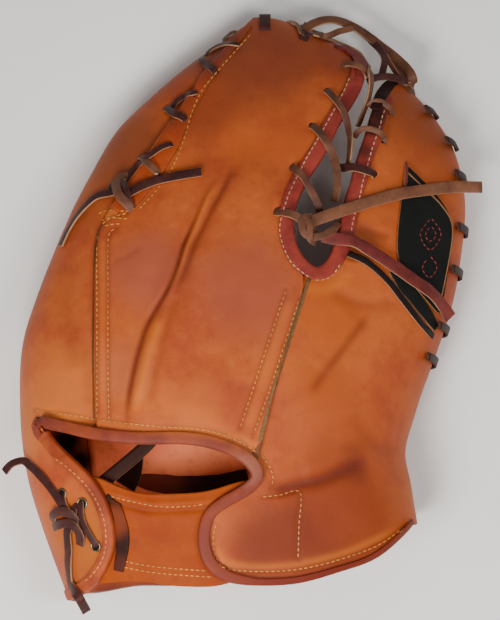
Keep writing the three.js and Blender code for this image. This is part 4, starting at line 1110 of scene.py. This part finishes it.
eyeletMetal = metalFinish("eyelet_metal", (150, 132, 100))
eyeletSpots = [(62.5, 494), (82.5, 503.5), (96, 546), (123, 547)]
eyeletLift = 0.3
eyeletHoles = [onLeather(x, y, topTree) for x, y in eyeletSpots]
for number, (place, normal) in enumerate(eyeletHoles, 1):
    node = f"eyelet_{number}"
    made = cadCopy(node, node + "_ring", 2, 0.0)
    low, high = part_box(node)
    shift = place + normal * eyeletLift * mm - (low + high) / 2
    made.data.transform(Matrix.Translation(shift))
    settle(made, [eyeletMetal], [node])
print("label and eyelets ready")

# Dark discs that paint the shade inside the holes that laces and eyelets open
holeShade = {"colour": (26, 14, 11), "height": 0.9, "lace": (4.6, 2.6), "eyelet": (4.6, 4.6)}


def paintHoleShade(kind, spots):
    shape = bmesh.new()
    length, width = holeShade[kind]
    for place, normal in spots:
        turn = normal.to_track_quat("Z", "Y").to_matrix().to_4x4()
        size = Matrix.Diagonal((width / 2 * mm, length / 2 * mm, holeShade["height"] / 2 * mm, 1))
        where = Matrix.Translation(place) @ turn @ size
        bmesh.ops.create_uvsphere(shape, u_segments=12, v_segments=6, radius=1, matrix=where)
    name = kind + "_holes"
    finish = edgeFinish(name + "_dark", holeShade["colour"], 0.9)
    settle(newObject(name, meshFrom(shape, name)), [finish], (), 80)


paintHoleShade("lace", [onLeather(x, y, topTree) for x, y in laceHoles])
paintHoleShade("eyelet", eyeletHoles)

# Stitching
thread = {
    "pitch": 3.0, "length": 2.35, "width": 0.84, "height": 0.62, "lift": 0.12, "worn": 0.82,
    "gold": (216, 136, 50), "cream": (206, 156, 118), "red": (126, 30, 30),
}


def threadFinish(kind):
    paint = Finish(kind + "_thread")
    ply = paint.grain(1800.0, 3.0)
    wear = paint.grain(60.0, 3.0)
    worn = tuple(thread["worn"] * share for share in thread[kind])
    colour = paint.blend(paint.spread(wear, 0.4, 0.65), thread[kind], worn)
    colour = paint.blend(paint.spread(ply, 0.6, 0.3) * 0.5, colour, (150, 110, 80), "MULTIPLY")
    return paint.close(colour, 0.6, ply, 0.1, 0.6)


threads = {kind: threadFinish(kind) for kind in ("gold", "cream", "red")}


def stitchRow(shape, route, tree):
    # small rounded stitches along a row, each half sunk into the leather
    line = smoothRoute(route, 12)
    steps = numpy.linalg.norm(numpy.diff(line, axis=0), axis=1) * view["pixel"]
    reach = numpy.concatenate([[0], numpy.cumsum(steps)])
    count = int(reach[-1] / thread["pitch"])
    for i in range(count):
        ends = []
        for shift in (-0.5, 0.5):
            at = (i + 0.5) * thread["pitch"] + shift * thread["length"]
            x = numpy.interp(at, reach, line[:, 0])
            y = numpy.interp(at, reach, line[:, 1])
            ends.append(onLeather(x, y, tree))
        (start, normal), (end, second) = ends
        run = end - start
        if run.length > 2 * thread["length"] * mm:
            continue
        lie = (normal + second).normalized()
        side = lie.cross(run).normalized()
        turn = Matrix((run.normalized(), side, run.normalized().cross(side))).transposed().to_4x4()
        half = (run.length / 2, thread["width"] / 2 * mm, thread["height"] / 2 * mm, 1)
        middle = (start + end) / 2 + lie * thread["lift"] * mm
        where = Matrix.Translation(middle) @ turn @ Matrix.Diagonal(half)
        bmesh.ops.create_uvsphere(shape, u_segments=8, v_segments=6, radius=1, matrix=where)


labelMotif = [
    [(431, 218), (441, 234), (430, 250), (420, 234), (431, 218)],
    [(431, 226), (436, 234), (430, 242), (425, 234), (431, 226)],
    [(430, 256), (437, 267), (429, 278), (422, 267), (430, 256)],
]


def sew(name, rows, tree, kind):
    shape = bmesh.new()
    for row in rows:
        stitchRow(shape, row, tree)
    settle(newObject(name, meshFrom(shape, name)), [threads[kind]], (), 80)


for name, rows in seamRows.items():
    sew(name, rows, topTree, "cream" if name == "web_stitches" else "gold")
sew("label_motif", labelMotif, labelTree, "red")
print("stitches sewn")

# Floor and light
studio = {
    "floor": (252, 249, 244), "cloud": (242, 239, 233), "floorSize": 2.5,
    "sky": (236, 238, 242), "skyPower": 0.34,
    "lamps": [
        {"name": "key", "at": (-0.24, -0.5, 0.66), "size": 0.35, "power": 8.2},
        {"name": "over", "at": (0.5, -0.35, 1.15), "size": 0.4, "power": 6.6},
        {"name": "fill", "at": (0.7, 0.9, 1.3), "size": 1.6, "power": 2.5},
    ],
}


def setStudio():
    paint = Finish("floor_paper")
    cloud = paint.grain(3.0, 2.0)
    share = paint.spread(cloud, 0.3, 0.7)
    shade = paint.blend(share, studio["floor"], studio["cloud"])
    floorMaterial = paint.close(shade, 0.85, paint.grain(400.0), 0.05, 0.2)
    shape = bmesh.new()
    bmesh.ops.create_grid(shape, x_segments=4, y_segments=4, size=studio["floorSize"])
    floor = newObject("floor", meshFrom(shape, "floor"))
    floor.data.materials.append(floorMaterial)
    for lamp in studio["lamps"]:
        light = bpy.data.lights.new(lamp["name"], "AREA")
        light.size = lamp["size"]
        light.energy = lamp["power"]
        stand = newObject(lamp["name"], light)
        stand.location = lamp["at"]
        stand.rotation_euler = (target - stand.location).to_track_quat("-Z", "Y").to_euler()
    world = bpy.data.worlds.new("studio")
    world.use_nodes = True
    sky = world.node_tree.nodes["Background"]
    sky.inputs["Color"].default_value = rgb(*studio["sky"])
    sky.inputs["Strength"].default_value = studio["skyPower"]
    bpy.context.scene.world = world


setStudio()
print("studio set")
